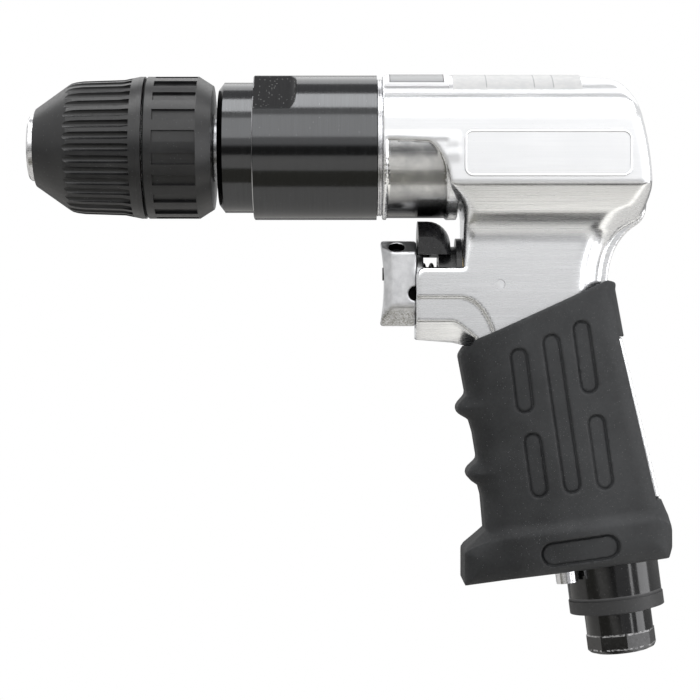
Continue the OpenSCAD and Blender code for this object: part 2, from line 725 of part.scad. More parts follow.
// Space in front of the neck for the reversing lever
module notch_cut(fillet) {
    roof = -22.3;
    side_plate(20) polygon(concat([[boss_x - 12, valve_z + 1.7], [boss_x - 12, roof], [128.4, roof],
        [128.4, roof - 0.6]],
        arc([neck_x - fillet, roof - 0.6 - fillet], fillet, 90, 0, 6), [[neck_x, valve_z + 1.7]]));
    for (w = [[hub_x[0] - 0.4, hub_x[1] + 0.2, hub_r + 0.4], [hub_x[1] - 0.3, neck_x, lever_flange_r + 0.4]])
        translate([w[0], -w[2], valve_z]) cube([w[1] - w[0], 2 * w[2], 4]);
}

module regulator_hole() {
    at_inlet() translate([regulator_xy[0], regulator_xy[1], 0]) {
        translate([0, 0, -26.5]) cylinder(h = 20, r = 2.65);
        translate([0, 0, -13]) cylinder(h = 6, r = 3.6);
    }
}

// Thin curved label on the top of the barrel, reaching half_angle to each side
module label_skin(x0, x1, half_angle, thick) {
    intersection() {
        xring(x0, x1, barrel_r + thick, barrel_r);
        xprism(x0 - 1, x1 + 1) polygon([[0, 0], 40 * [-sin(half_angle), cos(half_angle)], [-10, 50],
            [10, 50], 40 * [sin(half_angle), cos(half_angle)]]);
    }
}
module front_label_plate() { color("#b4b7ba") label_skin(109.6, 129, 40, 0.3); }
module top_label() { color("#f2f3f3") label_skin(130.2, 169.4, 47, 0.15); }

module passage_plug() {
    color("#b0b3b6") translate([plug_at[0], -neck_half - 0.1, plug_at[1]]) rotate([-90, 0, 0])
        cylinder(h = 3.8, r = 1.38);
}

// Rubber grip
function bump(a, b, depth) = let (m = (a + b) / 2, d = (b - a) / norm(b - a), n = [-d[1], d[0]])
    concat(curve(a, a + 0.2 * (b - a), m + depth * n - 0.25 * (b - a), m + depth * n, 4),
    curve(m + depth * n, m + depth * n + 0.25 * (b - a), b - 0.2 * (b - a), b, 4));

module grip_outline() {
    polygon(concat([[133.8, -134.7], [133.8, -124.4], [134.6, -123], [140.4, -117.8], [139.5, -107.6]],
        bump([139, -105.5], [138.2, -95.5], 3.7), [[137, -88.2]], bump([136.3, -85.3], [134.6, -75.3], 3.7),
        [[132.7, -65.2], [132.4, -63.6], [134.2, -61.4], [136.2, -59.8], [143.9, -56.6], [177.2, -41.4],
        [179.2, -41.7], [180.2, -44], [182.8, -58.3], [194, -107.6], [197, -114.8], [198, -117.9],
        [197.6, -126.1]]));
}

// Round-ended groove between two points of the side view
module groove(a, b, r, half, depth) {
    d = norm(b - a);
    tilt = atan2(b[0] - a[0], a[1] - b[1]);
    for (s = [-1, 1]) translate([a[0], s * (half - depth / 2 + 1), a[1]]) rotate([0, -tilt, 0]) {
        translate([-r, -depth / 2 - 1, -d]) cube([2 * r, depth + 2, d]);
        for (z = [0, -d]) translate([0, -depth / 2 - 1, z]) rotate([-90, 0, 0])
            cylinder(h = depth + 2, r = r);
    }
}

module grip_sleeve() {
    slots = [[[150, -64.8], [151.8, -79.1]], [[159.8, -60.5], [166.1, -103.3]],
        [[168.9, -56.4], [171.3, -73.1]], [[154.2, -90.4], [156.2, -104.6]], [[173.5, -84.8], [176, -102.1]]];
    corner_r = 9;
    color("#34373a") difference() {
        union() {
            intersection() {
                side_plate(grip_half) grip_outline();
                leaning_prism([129.1, -63], 8.7, grip_half, corner_r);
                translate([194.7, 0, -110]) rotate([0, -12.6, 0]) rotate([0, 0, 180])
                    leaning_prism([0, 0], 0, grip_half, corner_r);
            }
            intersection() {
                side_plate(flare_half) grip_outline();
                leaning_prism([133.7, -122], 0, flare_half, corner_r);
                translate([198.2, 0, -122]) rotate([0, 0, 180])
                    leaning_prism([0, 0], 0, flare_half, corner_r);
                side_plate(20) polygon([[120, -145], [210, -145], [210, -111.9], [120, -122.6]]);
            }
        }
        handle_core();
        side_plate(9.9) polygon([[176, -58.5], [187, -58.5], [199, -108.1], [188, -108.1]]);
        side_plate(20) polygon([[180.6, -58.5], [190, -58.5], [202, -108.1], [192.1, -108.1]]);
        for (p = slots) groove(p[0], p[1], 2.6, grip_half, groove_depth);
        groove([160.4, -124.3], [176.7, -121.9], 3.6, flare_half, 1);
        icyl(recess_s, 5, deflector_r + 0.4);
        at_inlet() translate([17.5, 0, -14]) cylinder(h = 12, r = 6);
        regulator_hole();
        side_plate(neck_half) polygon([[boss_x, -50], [boss_x, -59.4], [131, -60.3], [137.6, -62],
            [170, -62], [190, -30]]);
    }
}

// Trigger, throttle and reversing valve
module trigger() {
    zm = -42;
    front = [for (i = [0:6]) let (z = trigger_z[1] + (trigger_z[0] - trigger_z[1]) * i / 6)
        [trigger_x[0] + 1.3 * (1 - pow((z - zm) / 13.2, 2)), z]];
    color("#c3c6ca") difference() {
        union() {
            intersection() {
                side_plate(trigger_half) polygon(concat(front, [[trigger_x[1], trigger_z[0]],
                    [trigger_x[1], trigger_z[1]]]));
                xprism(trigger_x[0] - 1, trigger_x[1]) polygon([[-2.2, trigger_z[1]], [2.2, trigger_z[1]],
                    [trigger_half, -32.6], [trigger_half, -49.2], [3.6, trigger_z[0]], [-3.6, trigger_z[0]],
                    [-trigger_half, -49.2], [-trigger_half, -32.6]]);
                translate([0, 0, -60]) linear_extrude(40) polygon([[trigger_x[0] - 1, -4.6],
                    [trigger_x[0] + 3.7, -trigger_half], [125, -trigger_half], [125, trigger_half],
                    [trigger_x[0] + 3.7, trigger_half], [trigger_x[0] - 1, 4.6]]);
            }
            vcyl(trigger_x[1] - 1, trigger_x[2], 5.8);
        }
        vcyl(trigger_x[0] - 2, trigger_x[2] + 1, stem_r + 0.02);
        vcyl(spring_x[0] - 0.6, trigger_x[2] + 1, spring_pocket_r);
        set_screw_axis() cylinder(h = 14, r = 2.5);
        translate([119.1, -trigger_half - 1, -45.3]) rotate([-90, 0, 0]) cylinder(h = 2.2, r = 2.2);
    }
}

module set_screw_axis() {
    translate([113.3, 0, valve_z]) rotate([33, 0, 0]) translate([0, 0, stem_r + 0.05]) children();
}

module trigger_set_screw() {
    color("#3a3c3f") set_screw_axis() difference() {
        cylinder(h = 5.4, r = 2.45);
        translate([0, 0, 3.2]) cylinder(h = 4, r = 1.45, $fn = 6);
    }
}

module throttle_stem() {
    color("#2b2d30") vcyl(trigger_x[0] + 0.8, 167.2, stem_r);
}

module throttle_poppet() {
    color("#b08d3c") difference() {
        vcyl(chamber_x[0] + 0.1, poppet_x, 4.6);
        vcyl(160, 168, stem_r + 0.01);
    }
}

module trigger_spring() {
    color("#3c3e41") translate([0, 0, valve_z])
        helix(spring_x[0], spring_x[1], 3, trigger_wire_r, trigger_coils);
}

module throttle_spring() {
    color("#9b9ea2") translate([0, 0, valve_z]) helix(165.5, 172.5, 2.9, throttle_wire_r, throttle_coils);
}

module throttle_seat() {
    color("#b08d3c") difference() {
        vcyl(seat_x[0], seat_x[1], valve_r);
        vcyl(seat_x[0] - 1, seat_x[1] + 1, 3.1);
    }
}

module reverse_lever() {
    c = [lever_x[1] - lever_round, lever_r - lever_round];
    color("#1d1e20") difference() {
        translate([0, 0, valve_z]) union() {
            intersection() {
                xturn(concat([[lever_x[0], lever_hollow_r], [lever_x[0], lever_r]],
                    arc(c, lever_round, 90, 0, 8), [[lever_x[1], 6.1], [lever_x[0] + 4.1, 6.1],
                    [lever_x[0] + 4.1, lever_hollow_r]]));
                xprism(lever_x[0] - 1, lever_x[1] + 1) translate([-lever_half, lever_foot])
                    square([2 * lever_half, lever_r]);
            }
            xcyl(hub_x[0], hub_x[1], hub_r);
            xcyl(hub_x[1] - 0.1, neck_x - slip_gap, lever_flange_r);
        }
        vcyl(lever_x[0] - 5, spring_x[1] + trigger_wire_r + run_gap, spring_pocket_r);
        vcyl(lever_x[0], neck_x + 1, stem_r + 0.1);
        for (a = lever_swing * [-1, 0, 1]) translate([detent_x, 0, valve_z]) rotate([a, 0, 0])
            translate([0, 0, -detent_drop]) sphere(r = 1.62);
    }
}

module reverse_valve() {
    color("#b08d3c") difference() {
        vcyl(valve_x[0], valve_x[1], valve_r);
        vcyl(valve_x[0] - 1, 140, stem_r + 0.1);
        vcyl(139, valve_x[1] + 1, 4.6);
        for (a = [-25, 25]) translate([143, 0, valve_z]) rotate([a, 0, 0]) cylinder(h = 12, r = 2.1);
        for (x = valve_groove_x) translate([0, 0, valve_z]) xring(x - 0.9, x + 0.9, 12, 6.4);
    }
}
valve_groove_x = [136.5, 155];

module valve_o_rings() {
    color("#17181a") for (x = valve_groove_x) translate([x, 0, valve_z]) rotate([0, 90, 0]) rotate_extrude()
        translate([7.2, 0]) circle(r = 0.75, $fn = 24);
}

module detent_ball() {
    color("#d5d7d9") translate([detent_x, 0, valve_z - detent_drop]) sphere(r = 1.5);
}

module detent_spring() {
    color("#9b9ea2") translate([0, 0, valve_z - detent_drop]) helix(neck_x + 3.2, 143.6, 1.1, 0.3, 6);
}

// Air inlet, exhaust and regulator
module inlet_bushing() {
    head_s = 9.05;
    end_s = 14.6;
    color("#191a1b") difference() {
        union() {
            icyl(-30, -12, 9);
            icyl(-12.2, -11.4, 11.7);
            icyl(-12, 2.1, 9.8);
            icyl(2, head_s + 0.1, 10.3);
            intersection() {
                at_inlet() rotate([0, 0, -3]) translate([0, 0, head_s]) linear_extrude(end_s - head_s)
                    polygon([for (i = [0:head_flats - 1]) let (a = 360 * i / head_flats)
                    head_af / 2 / cos(180 / head_flats) * [cos(a), sin(a)]]);
                at_inlet() rotate_extrude() polygon([[0, head_s], [10.9, head_s], [10.9, end_s - 1],
                    [9.9, end_s], [0, end_s]]);
            }
            icyl(end_s - 0.1, end_s + 0.5, 8.5);
        }
        icyl(-31, 3, 4.2);
        icyl(2, 2.71, inlet_r + 0.6);
        icyl(2.7, end_s + 1, inlet_r);
        difference() {
            icyl(-3.05, -2.05, 11);
            icyl(-4, -1, 9);
        }
    }
}

module inlet_screen() {
    color("#c0b070") difference() {
        icyl(2.02, 2.68, inlet_r + 0.58);
        for (k = [0:5]) at_inlet() rotate([0, 0, 60 * k]) translate([2.6, 0, 0]) cylinder(h = 4, r = 0.8);
        icyl(0, 5, 0.9);
    }
}

module bushing_washer() {
    color("#7a7d80") iring(-12.98, -12.22, 11.9, 9.1);
}

module muffler_felt() {
    color("#8a8478") iring(-11.3, -3.3, 12.2, 9.9);
}

module exhaust_deflector() {
    color("#1f2021") difference() {
        union() {
            icyl(-12.6, -flange_half + 0.1, deflector_r);
            icyl(-flange_half, flange_half, deflector_r + 0.3);
        }
        icyl(-14, -flange_half, 12.6);
        icyl(-5, 3, 9.88);
        for (a = [60, 90, 120]) at_inlet() rotate([0, 0, a]) translate([0, -1.2, -9]) cube([20, 2.4, 5]);
    }
}

module deflector_retaining_ring() {
    color("#5c5f63") difference() {
        iring(-3, -2.1, 11.6, 9.03);
        at_inlet() translate([5, -3, -4]) cube([10, 6, 4]);
    }
}

module regulator_screw() {
    color("#c9ccd0") at_inlet() translate([regulator_xy[0], regulator_xy[1], 0]) difference() {
        union() {
            translate([0, 0, -26]) cylinder(h = 14, r = 2.6);
            translate([0, 0, -12.8]) cylinder(h = 3.8, r = 3.3);
        }
        translate([-4, -0.5, -10]) cube([8, 1, 2]);
        translate([0, 0, -20.9]) difference() {
            cylinder(h = 1.8, r = 4);
            translate([0, 0, -1]) cylinder(h = 4, r = 1.5);
        }
    }
}

module regulator_o_ring() {
    color("#17181a") at_inlet() translate([regulator_xy[0], regulator_xy[1], -20]) rotate_extrude()
        translate([2.05, 0]) circle(r = 0.52, $fn = 24);
}

chuck_body();
chuck_rear_sleeve();
chuck_front_sleeve();
chuck_nut();
chuck_thrust_washer();
chuck_thrust_balls();
chuck_screw();
chuck_jaw_1();
chuck_jaw_2();
chuck_jaw_3();
gear_case();
spindle();
planet_pins();
planet_gear_1();
planet_gear_2();
planet_gear_3();
ring_gear();
spindle_bearing_outer_rings();
spindle_bearing_inner_rings();
spindle_bearing_balls();
bearing_spacer();
bearing_clip();
motor_clamp_ring();
front_end_plate();
rear_end_plate();
motor_cylinder();
cylinder_pin();
rotor();
rotor_vanes();
rotor_bearing_outer_rings();
rotor_bearing_inner_rings();
rotor_bearing_balls();
motor_housing();
front_label_plate();
top_label();
passage_plug();
grip_sleeve();
trigger();
trigger_set_screw();
throttle_stem();
throttle_poppet();
trigger_spring();
throttle_spring();
throttle_seat();
reverse_lever();
reverse_valve();
valve_o_rings();
detent_ball();
detent_spring();
inlet_bushing();
inlet_screen();
bushing_washer();
muffler_felt();
exhaust_deflector();
deflector_retaining_ring();
regulator_screw();
regulator_o_ring();
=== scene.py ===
import bpy
import json
import math
import numpy as np
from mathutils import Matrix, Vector


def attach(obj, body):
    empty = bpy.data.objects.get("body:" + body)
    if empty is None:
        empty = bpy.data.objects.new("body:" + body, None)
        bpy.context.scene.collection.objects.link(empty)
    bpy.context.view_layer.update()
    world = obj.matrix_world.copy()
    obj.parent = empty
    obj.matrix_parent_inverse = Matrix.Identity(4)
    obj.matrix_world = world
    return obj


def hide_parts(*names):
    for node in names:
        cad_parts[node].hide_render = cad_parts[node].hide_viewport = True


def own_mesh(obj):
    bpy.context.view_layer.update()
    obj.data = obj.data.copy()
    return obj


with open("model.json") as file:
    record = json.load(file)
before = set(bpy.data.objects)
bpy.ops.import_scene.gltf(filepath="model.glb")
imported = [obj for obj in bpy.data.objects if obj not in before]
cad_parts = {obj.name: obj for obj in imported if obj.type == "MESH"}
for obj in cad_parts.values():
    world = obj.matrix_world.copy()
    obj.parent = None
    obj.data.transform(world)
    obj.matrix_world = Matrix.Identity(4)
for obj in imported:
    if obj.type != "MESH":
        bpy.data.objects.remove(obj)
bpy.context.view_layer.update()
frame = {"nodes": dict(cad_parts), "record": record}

MM = 0.001
scene = bpy.context.scene

# Sizes in millimetres. The spindle's axis is X, the chuck's nose is at X 0, and Z is up.
# Radius of the round barrel, and of its lowered part in front of the side panels
BARREL_R = 22.3
LOW_R = 21.7
# Half widths of the side panels and of the neck
PANEL = 22.1
NECK = 13.0
# Front faces of the neck, and of the boss that holds the trigger
NECK_X = 133.6
BOSS_X = 119.2
# Mark of the plug in the neck, in X and Z
PLUG = (144.7, -42.6)
# Height of the axis that the throttle and the reversing valve share
VALVE_Z = -39.1
# Half widths of the grip and of its flared foot
GRIP_HALF = 16.5
FLARE_HALF = 18.0
# Middle of the flange on the inlet's axis, in X and Z, and how far that axis leans
INLET_PT = (181.5, -140.4)
TILT = math.radians(7.5)
# Hollow round the inlet's flange
SOCKET_R = 14.7
SOCKET_TOP = -13.0
# Hole of the regulator screw: in front of the inlet's axis and to its side, its radius, and where it ends
REGULATOR = (15.2, 10.6)
REGULATOR_R = 3.6
REGULATOR_TOP = -27
# Trigger: front of the pad, back of the pad and back of the stub, then foot and top
TRIGGER_X = (108.2, 119.4, 121.6)
TRIGGER_Z = (-55.2, -28.9)
# Bore of the trigger's screw: its X, and how far it leans to the side
SCREW_X = 113.3
SCREW_LEAN = math.radians(33)
# Blind hole in the trigger's side, in X and Z
SIDE_HOLE = (119.1, -45.3)

# Camera, world and lights
# The photograph shows 217 mm of the drill's plane of symmetry across its width
VIEW_DIST = 635 * MM
VIEW_WIDTH = 217 * MM
VIEW_CENTRE = Vector((98.98 * MM, 0, -62.62 * MM))
SENSOR = 36


def make_camera():
    data = bpy.data.cameras.new("camera")
    data.sensor_width = SENSOR
    data.lens = SENSOR * VIEW_DIST / VIEW_WIDTH
    data.clip_start = 0.01
    cam = bpy.data.objects.new("camera", data)
    scene.collection.objects.link(cam)
    cam.location = VIEW_CENTRE + Vector((0, -VIEW_DIST, 0))
    cam.rotation_euler = (math.pi / 2, 0, 0)
    scene.camera = cam


def make_world(diffuse_level, glossy_level, low_level):
    """White to the camera and to glass, and set levels for diffuse light and for reflections. Reflections
    see a darker room below the horizon."""
    world = bpy.data.worlds.new("world")
    scene.world = world
    world.use_nodes = True
    nt = world.node_tree
    path = nt.nodes.new("ShaderNodeLightPath")
    glossy = nt.nodes.new("ShaderNodeMix")
    glossy.inputs["A"].default_value = diffuse_level
    coord = nt.nodes.new("ShaderNodeTexCoord")
    split = nt.nodes.new("ShaderNodeSeparateXYZ")
    nt.links.new(coord.outputs["Generated"], split.inputs[0])
    horizon = nt.nodes.new("ShaderNodeMapRange")
    for i, v in enumerate((-0.04, 0.02, low_level, glossy_level)):
        horizon.inputs[i + 1].default_value = v
    nt.links.new(split.outputs[2], horizon.inputs[0])
    nt.links.new(horizon.outputs[0], glossy.inputs["B"])
    nt.links.new(path.outputs["Is Glossy Ray"], glossy.inputs["Factor"])
    seen = nt.nodes.new("ShaderNodeMath")
    seen.operation = "MAXIMUM"
    nt.links.new(path.outputs["Is Camera Ray"], seen.inputs[0])
    nt.links.new(path.outputs["Is Transmission Ray"], seen.inputs[1])
    strength = nt.nodes.new("ShaderNodeMix")
    strength.inputs["B"].default_value = 1.0
    nt.links.new(seen.outputs[0], strength.inputs["Factor"])
    nt.links.new(glossy.outputs["Result"], strength.inputs["A"])
    back = nt.nodes["Background"]
    back.inputs["Color"].default_value = (1, 1, 1, 1)
    nt.links.new(strength.outputs["Result"], back.inputs["Strength"])


# Point in metres that the lamps and cards face
AIM = Vector((0.1, 0, -0.02))


def facing(obj, elevation, dist, azimuth=0):
    """Puts an object on a sphere about AIM, with its -Z side towards it. Azimuth 0 is in front."""
    el, az = math.radians(elevation), math.radians(azimuth)
    out = Vector((math.sin(az) * math.cos(el), -math.cos(az) * math.cos(el), math.sin(el)))
    obj.location = AIM + out * dist
    obj.rotation_euler = out.to_track_quat("Z", "Y").to_euler()


def softbox(name, elevation, spread, dist, length, level, diffuse=True):
    """Area light that fills the angle spread in height, with the given brightness as seen in a mirror"""
    width = 2 * dist * math.tan(math.radians(spread / 2))
    data = bpy.data.lights.new(name, "AREA")
    data.shape = "RECTANGLE"
    data.size = length
    data.size_y = width
    data.energy = level * math.pi * length * width
    obj = bpy.data.objects.new(name, data)
    scene.collection.objects.link(obj)
    facing(obj, elevation, dist)
    obj.visible_camera = False
    obj.visible_diffuse = diffuse


def card(name, elevation, spread, dist, length, color, azimuth=0, shift=0.0):
    """Glowing card that only reflections see, moved sideways by shift. It shades nothing."""
    width = 2 * dist * math.tan(math.radians(spread / 2))
    mesh = bpy.data.meshes.new(name)
    x, y = length / 2, width / 2
    mesh.from_pydata([(-x, -y, 0), (x, -y, 0), (x, y, 0), (-x, y, 0)], [], [(0, 1, 2, 3)])
    obj = bpy.data.objects.new(name, mesh)
    scene.collection.objects.link(obj)
    facing(obj, elevation, dist, azimuth)
    obj.location.x += shift
    mat = bpy.data.materials.new(name)
    mat.use_nodes = True
    nt = mat.node_tree
    nt.nodes.remove(nt.nodes["Principled BSDF"])
    glow = nt.nodes.new("ShaderNodeEmission")
    glow.inputs["Color"].default_value = (*color, 1)
    nt.links.new(glow.outputs[0], nt.nodes["Material Output"].inputs["Surface"])
    mesh.materials.append(mat)
    obj.visible_camera = False
    obj.visible_diffuse = False
    obj.visible_shadow = False
    obj.visible_transmission = False


def make_floor():
    """Plain pale floor"""
    x0, x1, y0, y1, z = -1.6, 1.8, -1.2, 0.70, -0.30
    mesh = bpy.data.meshes.new("floor")
    mesh.from_pydata([(x0, y0, z), (x1, y0, z), (x1, y1, z), (x0, y1, z)], [], [(0, 1, 2, 3)])
    obj = bpy.data.objects.new("floor", mesh)
    scene.collection.objects.link(obj)
    mat = bpy.data.materials.new("floor")
    mat.use_nodes = True
    bsdf = mat.node_tree.nodes["Principled BSDF"]
    bsdf.inputs["Base Color"].default_value = (0.88, 0.865, 0.835, 1)
    bsdf.inputs["Roughness"].default_value = 0.9
    mesh.materials.append(mat)


def light_stage():
    """Lamps, cards and floor. Angles are in degrees and lengths in metres."""
    make_world(0.50, 0.79, 0.25)
    softbox("key_top", 75, 27, 0.75, 1.5, 3.4, diffuse=False)
    softbox("key_front", 31, 36, 0.95, 1.9, 1.25)
    softbox("back_top", 130, 30, 0.85, 1.6, 1.15)
    # Dark cards below the horizon, mirrored by the gear case and the chuck
    card("card_front", -21, 38, 1.0, 1.48, (0.085, 0.085, 0.083), shift=-0.656)
    card("card_low", -54, 33, 0.30, 0.8, (0.20, 0.195, 0.17), shift=-0.36)
    # Graded cards mirrored by the housing and the handle, and a bright one under them
    card("card_block_1", -11, 19, 1.0, 1.2, (0.46, 0.46, 0.47), shift=0.684)
    card("card_block_2", -29, 17, 1.0, 1.2, (0.36, 0.36, 0.37), shift=0.684)
    card("card_block_3", -44, 13, 0.30, 0.8, (0.10, 0.10, 0.102), shift=0.446)
    card("card_block_4", -57, 13, 0.30, 0.8, (0.01, 0.01, 0.01), shift=0.446)
    card("card_under", -73.5, 20, 0.25, 0.4, (1.42, 1.39, 1.32), shift=0.243)
    # Grey card overhead, and bright ones at the right for the back of the neck and the inlet
    card("card_high", 103, 22, 0.95, 2.2, (0.42, 0.42, 0.43))
    card("card_strip", -3, 40, 0.9, 0.09, (4.0, 4.0, 4.05), azimuth=42)
    card("card_right", -3, 40, 0.9, 0.46, (3.6, 3.6, 3.66), azimuth=74)
    make_floor()


# Materials
class Maker:
    """Builds the node tree of one material. Patterns follow the object's own coordinates, in millimetres."""

    def __init__(self, name, base, metallic, rough, **sockets):
        self.mat = bpy.data.materials.new(name)
        self.mat.use_nodes = True
        self.nt = self.mat.node_tree
        self.bsdf = self.nt.nodes["Principled BSDF"]
        self.bsdf.inputs["Base Color"].default_value = (*base, 1)
        self.bsdf.inputs["Metallic"].default_value = metallic
        self.bsdf.inputs["Roughness"].default_value = rough
        for key, value in sockets.items():
            self.bsdf.inputs[key.replace("_", " ")].default_value = value
        self.coord = self.nt.nodes.new("ShaderNodeTexCoord").outputs["Object"]
        self.normal_out = None

    def link(self, a, b):
        self.nt.links.new(a, b)

    def math(self, op, a, b=None, clamp=False):
        n = self.nt.nodes.new("ShaderNodeMath")
        n.operation = op
        n.use_clamp = clamp
        for i, v in enumerate((a, b)):
            if v is None:
                continue
            if isinstance(v, (int, float)):
                n.inputs[i].default_value = v
            else:
                self.link(v, n.inputs[i])
        return n.outputs[0]

    def times(self, a, b, clamp=False):
        return self.math("MULTIPLY", a, b, clamp)

    def plus(self, a, b):
        return self.math("ADD", a, b)

    def below(self, a, b):
        return self.math("LESS_THAN", a, b)

    def above(self, a, b):
        return self.math("GREATER_THAN", a, b)

    def within(self, value, centre, reach):
        """1 where value is less than reach away from centre"""
        return self.below(self.math("ABSOLUTE", self.math("SUBTRACT", value, centre)), reach)

    def distance_squared(self, a, a0, b, b0):
        """Squared distance of (a, b) from (a0, b0)"""
        return self.plus(self.math("POWER", self.math("SUBTRACT", a, a0), 2.0),
                         self.math("POWER", self.math("SUBTRACT", b, b0), 2.0))

    def xyz(self):
        n = self.nt.nodes.new("ShaderNodeSeparateXYZ")
        self.link(self.coord, n.inputs[0])
        return [self.times(o, 1 / MM) for o in n.outputs]

    def scaled(self, sx, sy, sz):
        n = self.nt.nodes.new("ShaderNodeMapping")
        n.inputs["Scale"].default_value = (sx / MM, sy / MM, sz / MM)
        self.link(self.coord, n.inputs["Vector"])
        return n.outputs[0]

    def noise(self, scale, detail=3.0, rough=0.55):
        """scale is in features per millimetre, as one number or one for each axis"""
        s = scale if isinstance(scale, tuple) else (scale, scale, scale)
        n = self.nt.nodes.new("ShaderNodeTexNoise")
        n.inputs["Scale"].default_value = 1.0
        n.inputs["Detail"].default_value = detail
        n.inputs["Roughness"].default_value = rough
        self.link(self.scaled(*s), n.inputs["Vector"])
        return n.outputs["Fac"]

    def specks(self, scale, size, seed=0.0):
        """1 inside small round specks and 0 elsewhere. scale is in cells per millimetre."""
        n = self.nt.nodes.new("ShaderNodeTexVoronoi")
        n.inputs["Scale"].default_value = 1.0
        n.inputs["Randomness"].default_value = 1.0
        m = self.nt.nodes.new("ShaderNodeMapping")
        m.inputs["Scale"].default_value = (scale / MM,) * 3
        m.inputs["Location"].default_value = (seed, seed * 1.7, seed * 0.6)
        self.link(self.coord, m.inputs["Vector"])
        self.link(m.outputs[0], n.inputs["Vector"])
        near = self.below(n.outputs["Distance"], size)
        sep = self.nt.nodes.new("ShaderNodeSeparateColor")
        self.link(n.outputs["Color"], sep.inputs[0])
        few = self.above(sep.outputs[0], 0.62)
        return self.times(near, few)

    def span(self, value, lo, hi, to_lo=0.0, to_hi=1.0):
        """Ramp from to_lo at lo to to_hi at hi"""
        n = self.nt.nodes.new("ShaderNodeMapRange")
        for i, v in enumerate((lo, hi, to_lo, to_hi)):
            n.inputs[i + 1].default_value = v
        self.link(value, n.inputs[0])
        return n.outputs[0]

    def mix(self, factor, a, b):
        """Colour mix of colours or sockets"""
        n = self.nt.nodes.new("ShaderNodeMix")
        n.data_type = "RGBA"
        self.link(factor, n.inputs["Factor"])
        for key, v in (("A", a), ("B", b)):
            socket = [s for s in n.inputs if s.name == key and s.type == "RGBA"][0]
            if isinstance(v, tuple):
                socket.default_value = (*v, 1)
            else:
                self.link(v, socket)
        return [s for s in n.outputs if s.type == "RGBA"][0]

    def color(self, socket):
        self.link(socket, self.bsdf.inputs["Base Color"])

    def rough(self, socket):
        self.link(socket, self.bsdf.inputs["Roughness"])

    def bump(self, height, strength, distance):
        n = self.nt.nodes.new("ShaderNodeBump")
        n.inputs["Strength"].default_value = strength
        n.inputs["Distance"].default_value = distance * MM
        self.link(height, n.inputs["Height"])
        if self.normal_out is not None:
            self.link(self.normal_out, n.inputs["Normal"])
        self.normal_out = n.outputs[0]
        self.link(self.normal_out, self.bsdf.inputs["Normal"])

    def radius(self):
        """Distance from the spindle axis in millimetres"""
        y, z = self.xyz()[1:]
        return self.math("SQRT", self.plus(self.times(y, y), self.times(z, z)))


def plain_steel(name, base, rough, wear=0.25):
    """Turned or ground metal with fine grain and slightly uneven colour"""
    m = Maker(name, base, 1.0, rough)
    grain = (0.4, 3.0, 3.0)
    tone = m.noise(0.35, 4.0)
    dark = tuple(c * (1 - wear) for c in base)
    m.color(m.mix(m.span(tone, 0.3, 0.7), dark, base))
    m.rough(m.span(m.noise(grain, 3.0), 0.3, 0.7, rough * 0.8, min(1.0, rough * 1.25)))
    m.bump(m.noise(grain, 2.0), 0.12, 0.03)
    return m.mat


def chuck_steel():
    """Turned steel of the chuck's body, with painted shade that makes it near black behind its sleeves"""
    m = Maker("chuck_steel", (0.78, 0.78, 0.79), 1.0, 0.24)
    r = m.radius()
    rings = m.noise((0.15, 3.5, 3.5), 2.0)
    steel = m.mix(m.span(m.noise(0.5, 4.0), 0.35, 0.65), (0.66, 0.66, 0.67), (0.82, 0.82, 0.83))
    # Painted shade: near black from X 50.5 on, where the body sits in the gap behind the sleeves before the
    # gear case
    back = m.span(m.xyz()[0], 49.5, 50.5)
    m.color(m.mix(back, steel, (0.045, 0.045, 0.047)))
    m.rough(m.span(rings, 0.3, 0.7, 0.18, 0.34))
    m.bump(m.math("SINE", m.times(r, 40.0)), 0.05, 0.01)
    return m.mat


def sleeve_black():
    """Dull black plastic with faint blotches and dust"""
    m = Maker("sleeve_black", (0.03, 0.031, 0.033), 0.0, 0.42)
    blotch = m.span(m.noise(0.12, 4.0), 0.35, 0.7)
    dust = m.specks(1.1, 0.12, 3.0)
    body = m.mix(blotch, (0.010, 0.0102, 0.011), (0.019, 0.0192, 0.020))
    m.color(m.mix(dust, body, (0.09, 0.09, 0.095)))
    m.rough(m.span(m.noise(1.5, 3.0), 0.3, 0.7, 0.30, 0.42))
    m.bump(m.noise(4.0, 2.0), 0.12, 0.03)
    return m.mat


def black_oxide():
    """Glossy black steel with fine turning lines, and matt ground flats for a wrench"""
    m = Maker("black_oxide", (0.085, 0.087, 0.09), 1.0, 0.12)
    x = m.xyz()[0]
    r = m.radius()
    on_flat = m.times(m.below(r, 22.05), m.above(x, 69.55))
    on_flat = m.times(on_flat, m.below(x, 83.5))
    turned = m.noise((6.0, 0.05, 0.05), 3.0)
    shade = m.mix(m.span(turned, 0.3, 0.7), (0.079, 0.080, 0.082), (0.091, 0.093, 0.096))
    shade = m.mix(m.times(m.specks(1.0, 0.07, 9.0), 0.6), shade, (0.4, 0.4, 0.4))
    light = m.specks(1.3, 0.22, 1.0)
    matt = m.mix(light, (0.014, 0.014, 0.015), (0.22, 0.22, 0.22))
    edge = m.times(m.above(x, 69.35), m.below(x, 69.62))
    edge = m.times(edge, m.above(r, 20.4))
    m.color(m.mix(edge, m.mix(on_flat, shade, matt), (0.5, 0.5, 0.51)))
    base_rough = m.span(m.noise((4.0, 0.15, 0.15), 3.0), 0.3, 0.7, 0.09, 0.17)
    m.rough(m.plus(base_rough, m.times(on_flat, 0.4)))
    m.bump(turned, 0.03, 0.01)
    return m.mat


def bright_ring():
    """Turned bright steel with lines round it"""
    m = Maker("bright_ring", (0.8, 0.8, 0.81), 1.0, 0.22)
    cloud = m.span(m.noise((0.4, 1.5, 1.5), 3.0), 0.35, 0.65)
    m.color(m.mix(cloud, (0.66, 0.66, 0.68), (0.84, 0.84, 0.85)))
    m.rough(m.span(m.noise((5.0, 0.2, 0.2), 2.0), 0.3, 0.7, 0.16, 0.3))
    m.bump(m.noise((6.0, 0.1, 0.1), 2.0), 0.08, 0.01)
    return m.mat


